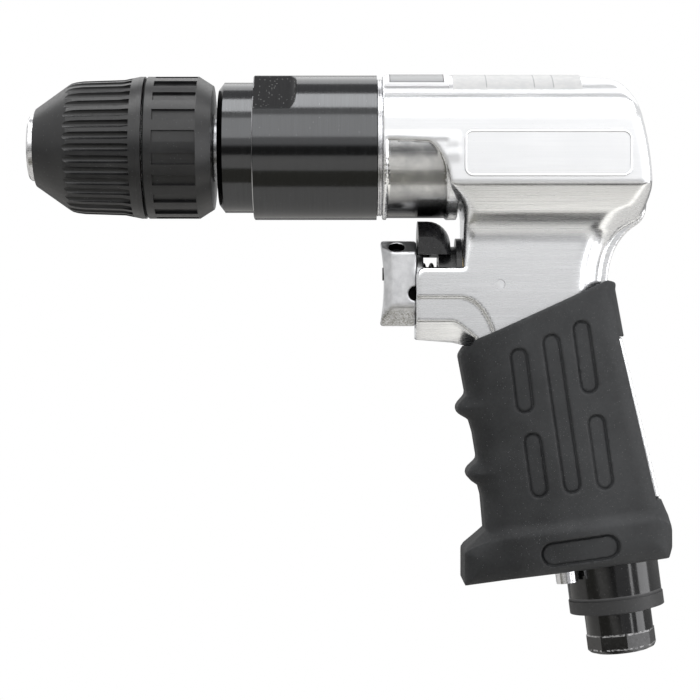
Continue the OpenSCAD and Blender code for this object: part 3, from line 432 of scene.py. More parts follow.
def polished_aluminium():
    """Polished casting with faint brush marks and clouding. Its lowered front part keeps a darker cast skin,
    with painted shade that deepens towards its bottom and its back, and two rings mark the plug in the neck."""
    m = Maker("polished_aluminium", (0.86, 0.87, 0.885), 1.0, 0.3)
    x, y, z = m.xyz()
    flat = m.above(m.math("ABSOLUTE", y), 21.9)
    brushed = m.noise((0.03, 2.2, 4.0), 4.0, 0.6)
    cloud = m.noise(0.06, 3.0)
    tone = m.mix(m.span(brushed, 0.3, 0.7), (0.845, 0.852, 0.865), (0.885, 0.89, 0.90))
    tone = m.mix(m.span(cloud, 0.35, 0.7, 0.0, 0.4), tone, (0.80, 0.81, 0.825))
    r = m.radius()
    low = m.times(m.below(r, 21.95), m.below(x, 131.5))
    low = m.times(low, m.above(x, 110.25))
    low = m.times(low, m.above(r, 19.8))
    cast_skin_and_shade = m.mix(m.span(m.noise(0.35, 4.0), 0.35, 0.65), (0.58, 0.585, 0.59), (0.74, 0.74, 0.735))
    # Painted shade: the lowered part darkens to near black towards its bottom
    cast_skin_and_shade = m.mix(m.span(z, -19.5, -13.0, 0.86, 0.0), cast_skin_and_shade, (0.03, 0.03, 0.03))
    # Painted shade: darker towards the back of the lowered part, by the front wall of the side panel
    cast_skin_and_shade = m.mix(m.span(x, 122.0, 129.5, 0.0, 0.6), cast_skin_and_shade, (0.20, 0.20, 0.20))
    tone = m.mix(low, tone, cast_skin_and_shade)
    pits = m.specks(0.8, 0.07, 5.0)
    tone = m.mix(m.times(pits, 0.35), tone, (0.35, 0.35, 0.36))
    from_plug = m.math("SQRT", m.distance_squared(x, PLUG[0], z, PLUG[1]))
    ring = m.plus(m.within(from_plug, 1.3, 0.13), m.within(from_plug, 0.62, 0.09))
    ring = m.times(ring, m.below(m.math("ABSOLUTE", y), NECK + 0.2), clamp=True)
    m.color(m.mix(m.times(ring, 0.75), tone, (0.22, 0.22, 0.225)))
    level = m.span(m.noise((0.05, 0.8, 2.0), 3.0), 0.3, 0.7, 0.22, 0.30)
    level = m.plus(level, m.times(flat, 0.12))
    m.rough(m.plus(level, m.times(low, -0.05)))
    m.bump(brushed, 0.04, 0.02)
    return m.mat


def cast_satin():
    """Satin casting of the trigger, grainy on its lower bevels, with painted shade that makes its two holes
    near black
    """
    m = Maker("cast_satin", (0.78, 0.785, 0.8), 1.0, 0.36)
    x, y, z = m.xyz()
    grain = m.noise(2.2, 4.0, 0.65)
    low = m.span(z, -51.5, -49.5, 1.0, 0.0)
    tone = m.mix(m.span(m.noise(0.35, 4.0), 0.35, 0.65), (0.66, 0.665, 0.68), (0.82, 0.825, 0.84))
    grit = m.times(low, m.span(grain, 0.45, 0.6))
    tone = m.mix(grit, tone, (0.36, 0.355, 0.33))
    hole = m.below(m.distance_squared(x, SIDE_HOLE[0], z, SIDE_HOLE[1]), 5.2)
    hole = m.times(m.times(hole, m.above(y, -7.7)), m.below(y, 0.0))
    tilted = m.plus(m.times(y, math.cos(SCREW_LEAN)),
                    m.times(m.math("SUBTRACT", z, VALVE_Z), math.sin(SCREW_LEAN)))
    socket = m.below(m.distance_squared(x, SCREW_X, tilted, 0.0), 6.5)
    socket = m.times(socket, m.above(z, VALVE_Z + 2.0))
    # Painted shade: the side hole and the bore of the screw are coloured near black
    m.color(m.mix(m.math("MAXIMUM", hole, socket), tone, (0.01, 0.01, 0.01)))
    m.rough(m.span(m.noise(1.2, 3.0), 0.3, 0.7, 0.30, 0.44))
    m.bump(grain, 0.16, 0.06)
    return m.mat


def plate_aluminium():
    """Front plate: bright border round a grey field, with painted shade that darkens the field from its top
    down its sides
    """
    m = Maker("plate_aluminium", (0.8, 0.8, 0.81), 1.0, 0.32)
    x, y, z = m.xyz()
    middle = 119.3
    across = m.math("ARCTAN2", m.math("ABSOLUTE", y), z)
    inside = m.times(m.within(x, middle, 8.0), m.below(across, 0.575))
    rim = m.times(m.within(x, middle, 8.35), m.below(across, 0.592))
    # Painted shade: the field darkens from the top of the plate down its sides
    field_painted_shade = m.span(across, 0.2, 0.6)
    field = m.mix(field_painted_shade, (0.34, 0.345, 0.35), (0.24, 0.245, 0.25))
    field = m.mix(m.span(m.noise((0.05, 3.0, 3.0), 3.0), 0.35, 0.65), field, (0.30, 0.305, 0.31))
    border = m.mix(rim, (0.80, 0.80, 0.81), (0.10, 0.10, 0.105))
    m.color(m.mix(inside, border, field))
    m.rough(m.span(m.noise((0.1, 2.0, 2.0), 3.0), 0.3, 0.7, 0.28, 0.4))
    m.bump(m.times(inside, -1.0), 0.5, 0.12)
    return m.mat


def label_white():
    """White film with thin plain rules between its fields"""
    m = Maker("label_white", (0.9, 0.9, 0.9), 0.0, 0.38)
    x, y, z = m.xyz()
    across = m.math("ARCTAN2", m.math("ABSOLUTE", y), z)
    rules = None
    for at in (140.4, 154.9, 160.7):
        line = m.within(x, at, 0.16)
        rules = line if rules is None else m.math("MAXIMUM", rules, line)
    rules = m.times(rules, m.below(across, 0.72))
    paper = m.mix(m.span(m.noise(0.5, 4.0), 0.4, 0.6), (0.80, 0.805, 0.81), (0.86, 0.86, 0.86))
    m.color(m.mix(m.times(rules, 0.75), paper, (0.42, 0.43, 0.44)))
    m.rough(m.span(m.noise(2.0, 2.0), 0.3, 0.7, 0.32, 0.46))
    m.bump(m.noise(1.2, 3.0), 0.06, 0.02)
    return m.mat


def rubber_grip():
    """Matt rubber with fine dust on it, and painted shade that darkens it towards the front"""
    m = Maker("rubber_grip", (0.03, 0.031, 0.033), 0.0, 0.62, Specular_IOR_Level=0.35)
    x, _, z = m.xyz()
    # Painted shade: darker towards the front of the grip and lighter towards its back, mixed with random
    # clouding
    back = m.plus(x, m.times(z, 0.23))
    cloud = m.plus(m.span(back, 118.0, 150.0, 0.0, 0.75), m.span(m.noise(0.06, 4.0), 0.35, 0.7, -0.15, 0.35))
    body = m.mix(cloud, (0.014, 0.015, 0.0165), (0.048, 0.050, 0.053))
    many = m.span(m.noise(0.045, 2.0), 0.42, 0.6)
    dust = m.math("MAXIMUM", m.specks(1.3, 0.10, 2.0), m.times(m.specks(2.6, 0.13, 7.0), many))
    haze = m.span(m.noise(3.5, 3.0, 0.7), 0.58, 0.75, 0.0, 0.3)
    body = m.mix(haze, body, (0.07, 0.071, 0.075))
    m.color(m.mix(m.times(dust, 0.6), body, (0.30, 0.30, 0.31)))
    m.rough(m.span(m.noise(1.0, 3.0), 0.3, 0.7, 0.58, 0.74))
    m.bump(m.noise(5.0, 3.0, 0.6), 0.2, 0.05)
    m.bump(m.noise(0.25, 2.0), 0.1, 0.2)
    return m.mat


def gloss_black(name, base, rough, speck=0.0):
    """Smooth black with slight clouding, and with specks where speck is above 0"""
    m = Maker(name, base, 0.0, rough, Specular_IOR_Level=0.6)
    tone = tuple(c * 1.9 for c in base)
    shade = m.mix(m.span(m.noise(0.4, 4.0), 0.4, 0.7), base, tone)
    if speck:
        shade = m.mix(m.times(m.specks(1.4, 0.16, 4.0), speck), shade, (0.3, 0.3, 0.3))
    m.color(shade)
    m.rough(m.span(m.noise(0.9, 3.0), 0.3, 0.7, rough * 0.75, rough * 1.3))
    m.bump(m.noise(1.6, 3.0), 0.08, 0.03)
    return m.mat


def inlet_black():
    """Glossy black metal of the inlet, with a matt flange, a painted highlight along the flange's top edge,
    and worn edges on its head
    """
    m = Maker("inlet_black", (0.004, 0.004, 0.0045), 0.0, 0.12, Specular_IOR_Level=0.6)
    x, _, z = m.xyz()
    along = m.math("SUBTRACT", m.times(m.math("SUBTRACT", x, INLET_PT[0]), math.sin(TILT)),
                   m.times(m.math("SUBTRACT", z, INLET_PT[1]), math.cos(TILT)))
    flange = m.within(along, 0.0, 2.9)
    shade = m.mix(m.span(m.noise(0.4, 4.0), 0.4, 0.7), (0.004, 0.004, 0.0045), (0.009, 0.009, 0.0095))
    shade = m.mix(flange, shade, (0.026, 0.0265, 0.028))
    # Painted highlight: a light line along the top edge of the flange
    flange_painted_highlight = m.times(m.span(along, -3.1, -2.3, 1.0, 0.0), m.above(along, -3.0))
    shade = m.mix(m.times(flange_painted_highlight, 0.5), shade, (0.16, 0.16, 0.165))
    worn = m.plus(m.within(along, 9.3, 0.3), m.within(along, 13.7, 0.25))
    worn = m.times(worn, m.span(m.noise(0.7, 4.0, 0.7), 0.44, 0.56), clamp=True)
    shade = m.mix(worn, shade, (0.42, 0.42, 0.43))
    m.color(m.mix(m.times(m.specks(1.4, 0.16, 4.0), 0.25), shade, (0.3, 0.3, 0.3)))
    rough = m.span(m.noise(0.9, 3.0), 0.3, 0.7, 0.09, 0.16)
    m.rough(m.plus(rough, m.times(flange, 0.42)))
    m.bump(m.noise(1.6, 3.0), 0.08, 0.03)
    return m.mat


def felt_grey():
    m = Maker("felt_grey", (0.42, 0.4, 0.37), 0.0, 0.95)
    fibre = m.noise((3.0, 3.0, 0.7), 5.0, 0.75)
    m.color(m.mix(m.span(fibre, 0.35, 0.65), (0.30, 0.29, 0.27), (0.52, 0.50, 0.46)))
    m.bump(fibre, 0.6, 0.25)
    return m.mat


def vane_fibre():
    m = Maker("vane_fibre", (0.42, 0.3, 0.18), 0.0, 0.55)
    weave = m.noise((4.0, 4.0, 0.4), 4.0, 0.7)
    m.color(m.mix(m.span(weave, 0.35, 0.65), (0.30, 0.20, 0.11), (0.48, 0.35, 0.22)))
    m.bump(weave, 0.3, 0.06)
    return m.mat


def make_materials():
    return {
        "chuck_steel": chuck_steel(),
        "sleeve_black": sleeve_black(),
        "hard_steel": plain_steel("hard_steel", (0.55, 0.56, 0.58), 0.28),
        "bearing_steel": plain_steel("bearing_steel", (0.74, 0.75, 0.77), 0.12, wear=0.08),
        "black_oxide": black_oxide(),
        "bright_ring": bright_ring(),
        "polished_aluminium": polished_aluminium(),
        "plate_aluminium": plate_aluminium(),
        "label_white": label_white(),
        "cast_satin": cast_satin(),
        "iron_liner": plain_steel("iron_liner", (0.33, 0.33, 0.34), 0.45, wear=0.3),
        "vane_fibre": vane_fibre(),
        "rubber_grip": rubber_grip(),
        "lever_black": gloss_black("lever_black", (0.010, 0.010, 0.011), 0.28, 0.25),
        "brass_part": plain_steel("brass_part", (0.72, 0.55, 0.27), 0.25),
        "spring_steel": plain_steel("spring_steel", (0.45, 0.46, 0.48), 0.3),
        "black_wire": gloss_black("black_wire", (0.02, 0.02, 0.021), 0.32),
        "seal_rubber": gloss_black("seal_rubber", (0.013, 0.013, 0.013), 0.5),
        "felt_grey": felt_grey(),
        "gloss_black_metal": gloss_black("gloss_black_metal", (0.004, 0.004, 0.0045), 0.12, 0.15),
        "inlet_black": inlet_black(),
        "bright_screw": plain_steel("bright_screw", (0.78, 0.78, 0.8), 0.2, wear=0.12),
    }


MATERIALS = make_materials()
SLOT_OF = {p["node"]: p["material_slot"] for p in frame["record"]["subparts"]}
# Pieces that look different from the rest of their slot
DRESSED_AS = {"inlet_bushing": "inlet_black", "exhaust_deflector": "inlet_black",
              "trigger_set_screw": "lever_black"}


def dress_cad_nodes():
    """Gives every CAD node its material, and leaves its mesh alone"""
    for name, obj in frame["nodes"].items():
        mat = MATERIALS[DRESSED_AS.get(name, SLOT_OF[name])]
        if obj.material_slots:
            for s in obj.material_slots:
                s.material = mat
        else:
            obj.data.materials.append(mat)


# Meshes from distance fields
def round_max(a, b, r):
    """Intersection of two distance fields with an edge of radius r"""
    return np.minimum(np.maximum(a, b), -r) + np.hypot(np.maximum(a + r, 0), np.maximum(b + r, 0))


def round_min(a, b, r):
    """Union of two distance fields with a fillet of radius r"""
    return -round_max(-a, -b, r)


def polygon_distance(px, pz, pts):
    """Signed distance to a polygon in the side view, negative inside"""
    pts = np.asarray(pts, float)
    best = np.full(np.broadcast(px, pz).shape, 1e9)
    inside = np.zeros(best.shape, bool)
    for (ax, az), (bx, bz) in zip(pts, np.roll(pts, -1, axis=0)):
        ex, ez = bx - ax, bz - az
        wx, wz = px - ax, pz - az
        t = np.clip((wx * ex + wz * ez) / (ex * ex + ez * ez), 0, 1)
        best = np.minimum(best, (wx - ex * t) ** 2 + (wz - ez * t) ** 2)
        if az != bz:
            cross = (az > pz) != (bz > pz)
            inside ^= cross & (px < (pz - az) / (bz - az) * ex + ax)
    return np.sqrt(best) * np.where(inside, -1.0, 1.0)


def segment_distance(px, pz, a, b):
    """Distance to the line from a to b in the side view"""
    ex, ez = b[0] - a[0], b[1] - a[1]
    wx, wz = px - a[0], pz - a[1]
    t = np.clip((wx * ex + wz * ez) / (ex * ex + ez * ez), 0, 1)
    return np.hypot(wx - ex * t, wz - ez * t)


def between(lo, v, hi):
    """Distance field of the slab from lo to hi"""
    return np.maximum(lo - v, v - hi)


def curve(a, b, c, d, n):
    """Points of a cubic curve, leaving out the start point"""
    a, b, c, d = (np.array(v, float) for v in (a, b, c, d))
    pts = []
    for i in range(n):
        t = (i + 1) / n
        pts.append(tuple((1 - t) ** 3 * a + 3 * (1 - t) ** 2 * t * b + 3 * (1 - t) * t * t * c + t ** 3 * d))
    return pts


def net_mesh(name, field, lo, hi, step):
    """Mesh of the zero level of a field of x, y and z in millimetres, inside the box from lo to hi. One point
    in each cell that the surface crosses, joined into quads and then moved onto the surface."""
    counts = [int(math.ceil((h - l) / step)) + 1 for l, h in zip(lo, hi)]
    axes = [l + step * np.arange(n) for l, n in zip(lo, counts)]
    f = field(axes[0][:, None, None], axes[1][None, :, None], axes[2][None, None, :])
    f = np.where(f == 0, 1e-6, f)
    cells = tuple(n - 1 for n in f.shape)
    total = np.zeros(cells + (3,))
    count = np.zeros(cells)
    for ax in range(3):
        others = [a for a in range(3) if a != ax]
        for i in (0, 1):
            for j in (0, 1):
                first, second = [None] * 3, [None] * 3
                first[ax], second[ax] = slice(0, -1), slice(1, None)
                for o, off in zip(others, (i, j)):
                    first[o] = second[o] = slice(off, f.shape[o] - 1 + off)
                a, b = f[tuple(first)], f[tuple(second)]
                hit = (a < 0) != (b < 0)
                t = np.where(hit, a / np.where(hit, a - b, 1), 0)
                count += hit
                total[..., ax] += t
                total[..., others[0]] += i * hit
                total[..., others[1]] += j * hit
    used = count > 0
    ids = np.full(cells, -1)
    ids[used] = np.arange(used.sum())
    at = np.argwhere(used) + total[used] / count[used][:, None]
    verts = np.array(lo) + at * step
    quads = []
    for ax in range(3):
        u, v = [a for a in range(3) if a != ax]
        first, second = [slice(1, -1)] * 3, [slice(1, -1)] * 3
        first[ax], second[ax] = slice(0, -1), slice(1, None)
        a, b = f[tuple(first)], f[tuple(second)]
        hit = np.argwhere((a < 0) != (b < 0))
        if not len(hit):
            continue
        cell = hit.copy()
        cell[:, u] += 1
        cell[:, v] += 1
        corners = []
        for du, dv in ((-1, -1), (0, -1), (0, 0), (-1, 0)):
            c = cell.copy()
            c[:, u] += du
            c[:, v] += dv
            corners.append(ids[tuple(c.T)])
        q = np.stack(corners, 1)
        flip = (a[tuple(hit.T)] < 0) == (ax == 1)
        q[flip] = q[flip][:, ::-1]
        quads.append(q)
    quads = np.concatenate(quads)
    quads = quads[(quads >= 0).all(1)]
    eps = 0.02
    for _ in range(3):
        x, y, z = verts.T
        value = field(x, y, z)
        grad = np.stack([(field(x + eps, y, z) - field(x - eps, y, z)) / (2 * eps),
                         (field(x, y + eps, z) - field(x, y - eps, z)) / (2 * eps),
                         (field(x, y, z + eps) - field(x, y, z - eps)) / (2 * eps)], 1)
        size = np.maximum((grad ** 2).sum(1), 0.25)
        move = -grad * (value / size)[:, None]
        long = np.maximum(np.linalg.norm(move, axis=1) / (0.6 * step), 1)[:, None]
        verts = verts + move / long
    mesh = bpy.data.meshes.new(name)
    mesh.from_pydata((verts * MM).tolist(), [], quads.tolist())
    mesh.validate()
    mesh.polygons.foreach_set("use_smooth", [True] * len(mesh.polygons))
    obj = bpy.data.objects.new(name, mesh)
    scene.collection.objects.link(obj)
    return obj


def finish_piece(obj, slot, body, *nodes):
    """Gives a piece the material of its slot, puts it on its body, and hides the CAD nodes that it stands in
    for
    """
    obj.data.materials.append(MATERIALS[slot])
    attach(obj, body)
    if nodes:
        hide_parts(*nodes)
    return obj


# Housing
def rear_line():
    """Back of the housing from the top down to the neck"""
    return (curve((176.5, 22.3), (181.6, 22.3), (183.8, 17.6), (185.2, 13.5), 8)
            + curve((185.2, 13.5), (187.6, 6.4), (189.6, -2), (190, -11.5), 8)
            + curve((190, -11.5), (190.3, -18.4), (189.6, -22.6), (186.9, -24.2), 8)
            + curve((186.9, -24.2), (181.6, -27.3), (178.2, -33.4), (177.9, -41.2), 10))


def inlet_frame(x, y, z):
    """Distances along the inlet's axis, from it, and in front of it"""
    dx, dz = x - INLET_PT[0], z - INLET_PT[1]
    s = dx * math.sin(TILT) - dz * math.cos(TILT)
    u = dx * math.cos(TILT) + dz * math.sin(TILT)
    return s, np.hypot(u, y), -u


def side_section(side, z):
    """Section of the block and the neck: flat sides, an underside that leans in, and a cove"""
    c, r = (NECK + 16.5, -30.3), 16.5
    arc = [(c[0] + r * math.cos(math.radians(a)), c[1] + r * math.sin(math.radians(a)))
           for a in np.linspace(143.7, 180, 13)]
    under = polygon_distance(side, z, [(-60, 40), (60.7, 40)] + arc + [(NECK, -80), (-60, -80)])
    return round_max(side - PANEL, under, 0.5)


def front_line():
    """Front edge of the side panels, and of the neck and the boss below them"""
    return (curve((121.3, 0.6), (125.4, -0.6), (128.4, -5.5), (129.1, -11.5), 8)
            + curve((129.1, -11.5), (129.5, -14.5), (133.4, -16), (NECK_X, -21.5), 8)
            + [(NECK_X, -37.4), (BOSS_X + 2.2, -37.4), (BOSS_X + 0.7, -38.1), (BOSS_X, -39.6),
               (BOSS_X, -59.4), (131, -60.3), (137.6, -62)])


def housing_field(x, y, z):
    """Motor housing and handle, cast in one"""
    side = np.abs(y)
    axis_r = np.hypot(y, z)
    valve_r = np.hypot(y, z - VALVE_Z)
    # Round barrel, lowered in front of the side panels
    barrel = round_max(axis_r - BARREL_R, between(108.9, x, 132.0), 0.5)
    low = np.maximum(np.maximum(LOW_R - axis_r, z - 0.6), between(110.2, x, 128.4))
    barrel = round_max(barrel, -low, 0.2)
    # Block with flat sides, neck and boss in one, and a rib down its back
    flank = np.maximum(side_section(side, z), round_max(side - PANEL, z - 15, 8.0))
    section = round_min(flank, axis_r - BARREL_R, np.interp(z, [9, 12], [0.001, 2.0]))
    section = np.maximum(section, side - PANEL)
    front = polygon_distance(x, z, [(108.9, 60), (108.9, 0.6)] + front_line() + [(300, -62), (300, 60)])
    edge = np.interp(z, [-37.4, -24, -20, -12.5], [1.2, 4.0, 3.4, 0.5])
    block = round_max(section, front, edge)
    rear = polygon_distance(x, z, [(100, 40), (176.5, 22.3)] + rear_line() + [(177.9, -80), (100, -80)])
    tail = rear + np.interp(z, [-22, -14], [1.1, 0.0])
    block = round_max(block, tail, np.interp(z, [-26, -13], [10.2, 3.6]))
    rib = round_max(np.maximum(side - 8.0, np.maximum(z + 14, x - 260)), rear, 0.8)
    rib = np.maximum(rib, np.maximum(-62 - z, 170 - x))
    block = np.minimum(block, rib)
    d = round_min(block, barrel, np.interp(z, [-4, -1], [0.9, 0.002]))
    # Stepped and chamfered foot of the boss
    arc_line = polygon_distance(x, z, [(110, -46.6), (132.5, -46.6)]
                                + curve((132.5, -46.6), (137, -46.6), (140.3, -50.5), (142.6, -57.2), 10)
                                + [(143, -70), (110, -70)])
    d = round_max(d, -round_max(arc_line, (NECK - 0.55) - side, 0.25), 0.25)
    foot_line = polygon_distance(x, z, [(110, -53.8), (128.4, -53.6)]
                                 + curve((128.4, -53.6), (131, -53.8), (133, -55.5), (137.3, -59.4), 8)
                                 + [(138.5, -70), (110, -70)])
    chamfer = (side - 12.45) * 0.80 - (z + 53.8) * 0.60
    d = np.maximum(d, np.minimum(chamfer, -foot_line))
    # Core of the handle inside the grip, and the strip of it that shows at the back
    core = polygon_distance(x, z, [(138.1, -61.2), (143.6, -126), (144.2, -132.6), (194.4, -126.4),
                                   (193.8, -122), (191, -108), (179.6, -58.5), (177.4, -61.2)])
    core_half = np.interp(z, [-68, -62], [12.4, 12.98])
    core = round_max(core, side - core_half, np.interp(z, [-68, -62], [6.5, 0.6]))
    strip = np.maximum(polygon_distance(x, z, [(176, -58.7), (181.9, -58.7), (193.6, -107.8), (188, -107.8)]),
                       side - 9.5)
    d = np.minimum(np.minimum(d, core), strip)
    # Notch for the lever, trough for the trigger, and bores
    notch = polygon_distance(x, z, [(100, -37.4), (100, -22.35), (128.4, -22.35), (128.5, -22.9),
                                    (130.2, -22.9)]
                             + curve((130.2, -22.9), (132.2, -23.1), (133.5, -24.6), (NECK_X, -26.6), 6)
                             + [(NECK_X, -37.4)])
    d = np.maximum(d, -np.maximum(notch, side - 20))
    trough = np.maximum(between(BOSS_X - 3, x, 125.9), np.maximum(side - 8.15, between(-55.8, z, -36.8)))
    d = round_max(d, -trough, 0.25)
    s, r, ahead = inlet_frame(x, y, z)
    cuts = [np.maximum(r - 5.4, np.maximum(-100 - s, s)), np.maximum(r - 9.05, -31 - s),
            np.maximum(r - SOCKET_R, SOCKET_TOP - s)]
    # Room for the disc and the hub of the lever, open at the top as far as the notch
    for room_r, x0, x1 in ((11.4, 131.3, NECK_X), (8.9, 125.7, 131.8)):
        cuts.append(np.maximum(valve_r - room_r, between(x0, x, x1)))
        cuts.append(np.maximum(side - room_r, np.maximum(between(x0, x, x1), between(VALVE_Z, z, -35))))
    # Bores about the valve's axis and the spindle's axis
    for from_axis, bore_r, x0, x1 in ((valve_r, 8.0, 132, 162.2), (valve_r, 6.3, 160, 173),
                                      (axis_r, 19.0, 100, 175.5), (axis_r, 19.95, 100, 115)):
        cuts.append(np.maximum(from_axis - bore_r, between(x0, x, x1)))
    cuts.append(np.maximum(np.hypot(ahead - REGULATOR[0], y + REGULATOR[1]) - REGULATOR_R, REGULATOR_TOP - s))
    for cut in cuts:
        d = np.maximum(d, -cut)
    return d


def make_housing():
    obj = net_mesh("housing_casting", housing_field, (108, -23.5, -134), (196, 23.5, 24), 0.6)
    return finish_piece(obj, "polished_aluminium", "housing", "motor_housing")


# Rubber grip
# Ends of the grooves on each side of the grip, and of the oval on its foot
SLOTS = [((150, -64.8), (151.8, -79.1)), ((159.8, -60.5), (166.1, -103.3)), ((168.9, -56.4), (171.3, -73.1)),
         ((154.2, -90.4), (156.2, -104.6)), ((173.5, -84.8), (176, -102.1))]
OVAL = ((160.4, -124.3), (176.7, -121.9))


def bump_line(a, b, depth):
    """Points of a rounded ridge from a to b that stands out to the front by depth"""
    a, b = np.array(a, float), np.array(b, float)
    mid = (a + b) / 2
    d = (b - a) / np.linalg.norm(b - a)
    n = np.array([-d[1], d[0]])
    top = mid + depth * n
    return (curve(a, a + 0.2 * (b - a), top - 0.25 * (b - a), top, 6)
            + curve(top, top + 0.25 * (b - a), b - 0.2 * (b - a), b, 6))


def grip_side():
    """Outline of the grip in the side view"""
    return ([(133.8, -134.7), (133.8, -124.4), (134.6, -123), (140.4, -117.8), (139.5, -107.6)]
            + bump_line((139, -105.5), (138.2, -95.5), 3.7) + [(137, -88.2)]
            + bump_line((136.3, -85.3), (134.6, -75.3), 3.7)
            + [(132.7, -65.2), (132.4, -63.6), (140, -40), (182, -30), (180.2, -44), (182.8, -58.3),
               (194, -107.6), (196.3, -113.0), (197.0, -116), (197.0, -122.5), (196.0, -126.1)])


def grip_field(x, y, z):
    """Grip with crowned sides and a flared foot, and the hollow that the handle fills"""
    side = np.abs(y)
    outline = polygon_distance(x, z, grip_side())
    across = (x - 163.5) * 0.974 + (z + 85) * 0.225
    crown = np.minimum(0.0032 * across ** 2, 2.2)
    foot_top = (z + 121.1 - (x - 132.6) * 0.119) * 0.993
    flare = round_max(side - FLARE_HALF + crown * 0.8, foot_top, 0.8)
    width = round_min(side - GRIP_HALF + crown, flare, 4.0)
    grip = round_max(outline, width, 7.0)
    top = polygon_distance(x, z, [(100, -200), (100, -66), (132.4, -63.8), (134.2, -61.4), (136.2, -59.8),
                                  (143.9, -56.6), (177.2, -41.4), (179.2, -41.7), (183, -42.5), (230, -45),
                                  (230, -200)])
    grip = round_max(grip, top, 0.9)
    grip = round_max(grip, -134.7 - z + (x - 133.8) * 0.1348, 1.2)
    # Grooves: a shallow floor, and a deeper line round it
    grooves = [(ends, 2.6, 0.32, 0.55, GRIP_HALF - 0.75 - crown) for ends in SLOTS]
    grooves.append((OVAL, 3.6, 0.35, 0.6, FLARE_HALF - 0.9 - crown * 0.8))
    for (a, b), half, line_half, line_depth, floor_y in grooves:
        reach = segment_distance(x, z, a, b)
        line = np.abs(reach - half + 0.15) - line_half
        grip = np.maximum(grip, -np.maximum(reach - half, floor_y - side))
        grip = np.maximum(grip, -np.maximum(line, floor_y - line_depth - side))
    # Hollows for the core, its strip, the inlet and the regulator screw, and the open back
    core = polygon_distance(x, z, [(100, -40), (BOSS_X, -59.4), (131, -60.3), (137.6, -62), (137.9, -62.5),
                                   (143.6, -126), (144.2, -132.6), (194.4, -126.4), (193.8, -122),
                                   (191, -108), (179.6, -58.5), (177.6, -42.4), (177, -20)])
    core_edge = np.where(x > 160, 6.0, np.interp(z, [-68, -60], [6.0, 0.05]))
    core = round_max(core, side - NECK - 0.02, core_edge)
    strip = np.maximum(polygon_distance(x, z, [(176, -58.5), (190, -58.5), (202, -108.1), (186, -108.1)]),
                       side - 9.7)
    s, r, ahead = inlet_frame(x, y, z)
    socket = np.maximum(r - SOCKET_R, SOCKET_TOP - s)
    back = polygon_distance(x, z, [(180.6, -58.5), (192.1, -108.1), (210, -108.1), (198, -58.5)])
    screw = np.maximum(np.hypot(ahead - REGULATOR[0], y + REGULATOR[1]) - REGULATOR_R, REGULATOR_TOP - s)
    front_hollow = np.maximum(np.hypot(ahead - 17.5, y) - 6, -14 - s)
    for cut in (core, strip, socket, back, screw, front_hollow):
        grip = np.maximum(grip, -cut)
    return grip


def make_grip():
    obj = net_mesh("rubber_grip", grip_field, (130, -19, -137), (200, 19, -40), 0.5)
    return finish_piece(obj, "rubber_grip", "housing", "grip_sleeve")


# Trigger
def trigger_field(x, y, z):
    """Pad with a hollow front and bevelled edges, a stub behind it, and holes for stem, spring and screw"""
    side = np.abs(y)
    valve_r = np.hypot(y, z - VALVE_Z)
    front_x = TRIGGER_X[0] + 1.3 * (1 - ((z + 42) / 13.2) ** 2)
    pad = round_max(front_x - x, x - TRIGGER_X[1], 0.4)
    pad = round_max(pad, between(TRIGGER_Z[0], z, TRIGGER_Z[1]), 1.1)
    pad = round_max(pad, side - 7.8, 0.6)
    upper = ((side - 2.2) * 3.7 + (z - TRIGGER_Z[1]) * 5.6) / math.hypot(3.7, 5.6)
    lower = ((side - 3.6) * 6.0 - (z - TRIGGER_Z[0]) * 4.2) / math.hypot(6.0, 4.2)
    bevel = ((side - 4.6) * 3.7 - (x - TRIGGER_X[0]) * 3.2) / math.hypot(3.7, 3.2)
    for plane in (upper, lower, bevel):
        pad = round_max(pad, plane, 0.5)
    stub = np.maximum(valve_r - 5.8, between(116, x, TRIGGER_X[2]))
    d = np.minimum(pad, stub)
    d = np.maximum(d, -np.maximum(valve_r - 2.02, 100 - x))
    d = round_max(d, -np.maximum(valve_r - 4.0, 115.6 - x), 0.3)
    along = -y * math.sin(SCREW_LEAN) + (z - VALVE_Z) * math.cos(SCREW_LEAN)
    off = np.hypot(x - SCREW_X, y * math.cos(SCREW_LEAN) + (z - VALVE_Z) * math.sin(SCREW_LEAN))
    d = round_max(d, -np.maximum(off - 2.5, 2.0 - along), 0.35)
    side_hole = np.maximum(np.hypot(x - SIDE_HOLE[0], z - SIDE_HOLE[1]) - 2.2, y + 3.3)
    return round_max(d, -side_hole, 0.25)


def make_trigger():
    obj = net_mesh("trigger_casting", trigger_field, (107, -9, -56.5), (123, 9, -27.5), 0.36)
    return finish_piece(obj, "cast_satin", "trigger", "trigger")


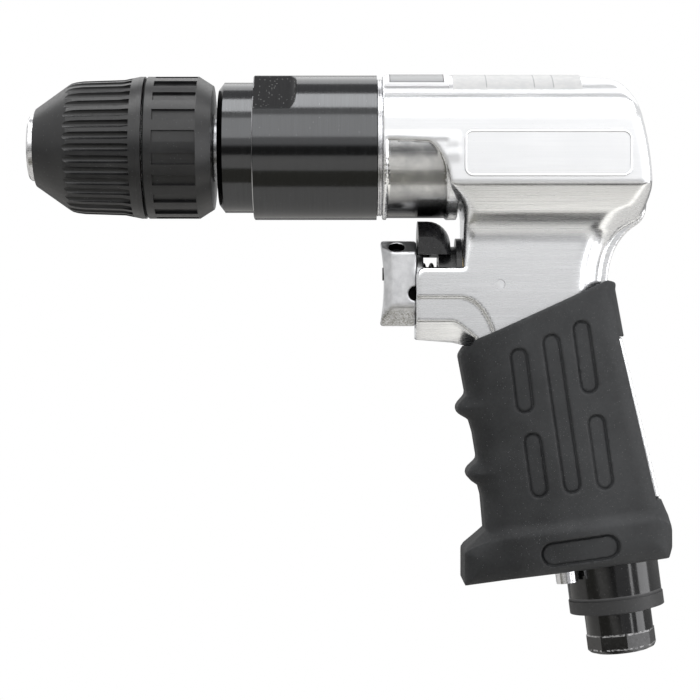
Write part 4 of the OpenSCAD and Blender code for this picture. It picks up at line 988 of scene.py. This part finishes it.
# Tubes, springs and panel frames
def tube(name, pts, radius, sides=10, closed=False):
    """Round tube along points in millimetres"""
    pts = np.array(pts, float)
    n = len(pts)
    if closed:
        tan = np.roll(pts, -1, 0) - np.roll(pts, 1, 0)
    else:
        tan = np.gradient(pts, axis=0)
    tan /= np.linalg.norm(tan, axis=1)[:, None]
    up = np.array([0.0, 1.0, 0.0]) if abs(tan[0][1]) < 0.9 else np.array([1.0, 0.0, 0.0])
    verts = []
    for p, t in zip(pts, tan):
        up = up - t * up.dot(t)
        up /= np.linalg.norm(up)
        w = np.cross(t, up)
        for j in range(sides):
            a = 2 * math.pi * j / sides
            verts.append(p + radius * (math.cos(a) * up + math.sin(a) * w))
    faces = []
    rings = n if closed else n - 1
    for i in range(rings):
        for j in range(sides):
            k, m = (j + 1) % sides, (i + 1) % n
            faces.append((i * sides + j, i * sides + k, m * sides + k, m * sides + j))
    if not closed:
        faces.append(tuple(reversed(range(sides))))
        faces.append(tuple((n - 1) * sides + j for j in range(sides)))
    mesh = bpy.data.meshes.new(name)
    mesh.from_pydata((np.array(verts) * MM).tolist(), [], faces)
    mesh.polygons.foreach_set("use_smooth", [True] * len(mesh.polygons))
    obj = bpy.data.objects.new(name, mesh)
    scene.collection.objects.link(obj)
    return obj


def coil(name, x0, x1, z, radius, wire, turns):
    """Helical spring about an axis along X at height z"""
    steps = int(turns * 20)
    pts = []
    for i in range(steps + 1):
        t = i / steps
        a = 2 * math.pi * turns * t
        pts.append((x0 + (x1 - x0) * t, radius * math.cos(a), z + radius * math.sin(a)))
    return tube(name, pts, wire)


def make_springs():
    """Coils for the trigger's and the throttle's springs, and for the detent spring"""
    for name, x0, x1, end_x, radius, wire, turns, slot, node in (
            ("trigger_coil", 116.2, 130.9, 130.9, 3.0, 0.5, 6, "black_wire", "trigger_spring"),
            ("throttle_coil", 165.5, 172.5, 172.8, 2.9, 0.35, 4, "spring_steel", "throttle_spring")):
        obj = coil(name, x0, x1, VALVE_Z, radius, wire, turns)
        finish_piece(obj, slot, "housing", node)
        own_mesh(obj)
    obj = coil("detent_coil", 136.8, 143.6, VALVE_Z - 9.7, 1.1, 0.3, 6)
    finish_piece(obj, "spring_steel", "housing", "detent_spring")


def make_panel_frames():
    """Raised line round the bare field on each side panel"""
    x0, x1, z0, z1, r = 133.6, 183.2, -10.3, 3.0, 2.4
    path = []
    corners = ((x1 - r, z1 - r), (x0 + r, z1 - r), (x0 + r, z0 + r), (x1 - r, z0 + r))
    for quarter, (cx, cz) in enumerate(corners):
        for i in range(9):
            a = math.radians(90 * quarter + 90 * i / 8)
            path.append((cx + r * math.cos(a), cz + r * math.sin(a)))
    for s, tag in ((-1, "left"), (1, "right")):
        pts = [(px, s * (PANEL - 0.12 - (0.02 if pz > 2.9 else 0)), pz) for px, pz in path]
        obj = tube("panel_frame_" + tag, pts, 0.42, 8, True)
        finish_piece(obj, "polished_aluminium", "housing")


make_camera()
scene.view_settings.view_transform = "Standard"
light_stage()
dress_cad_nodes()
make_housing()
make_grip()
make_trigger()
make_springs()
make_panel_frames()
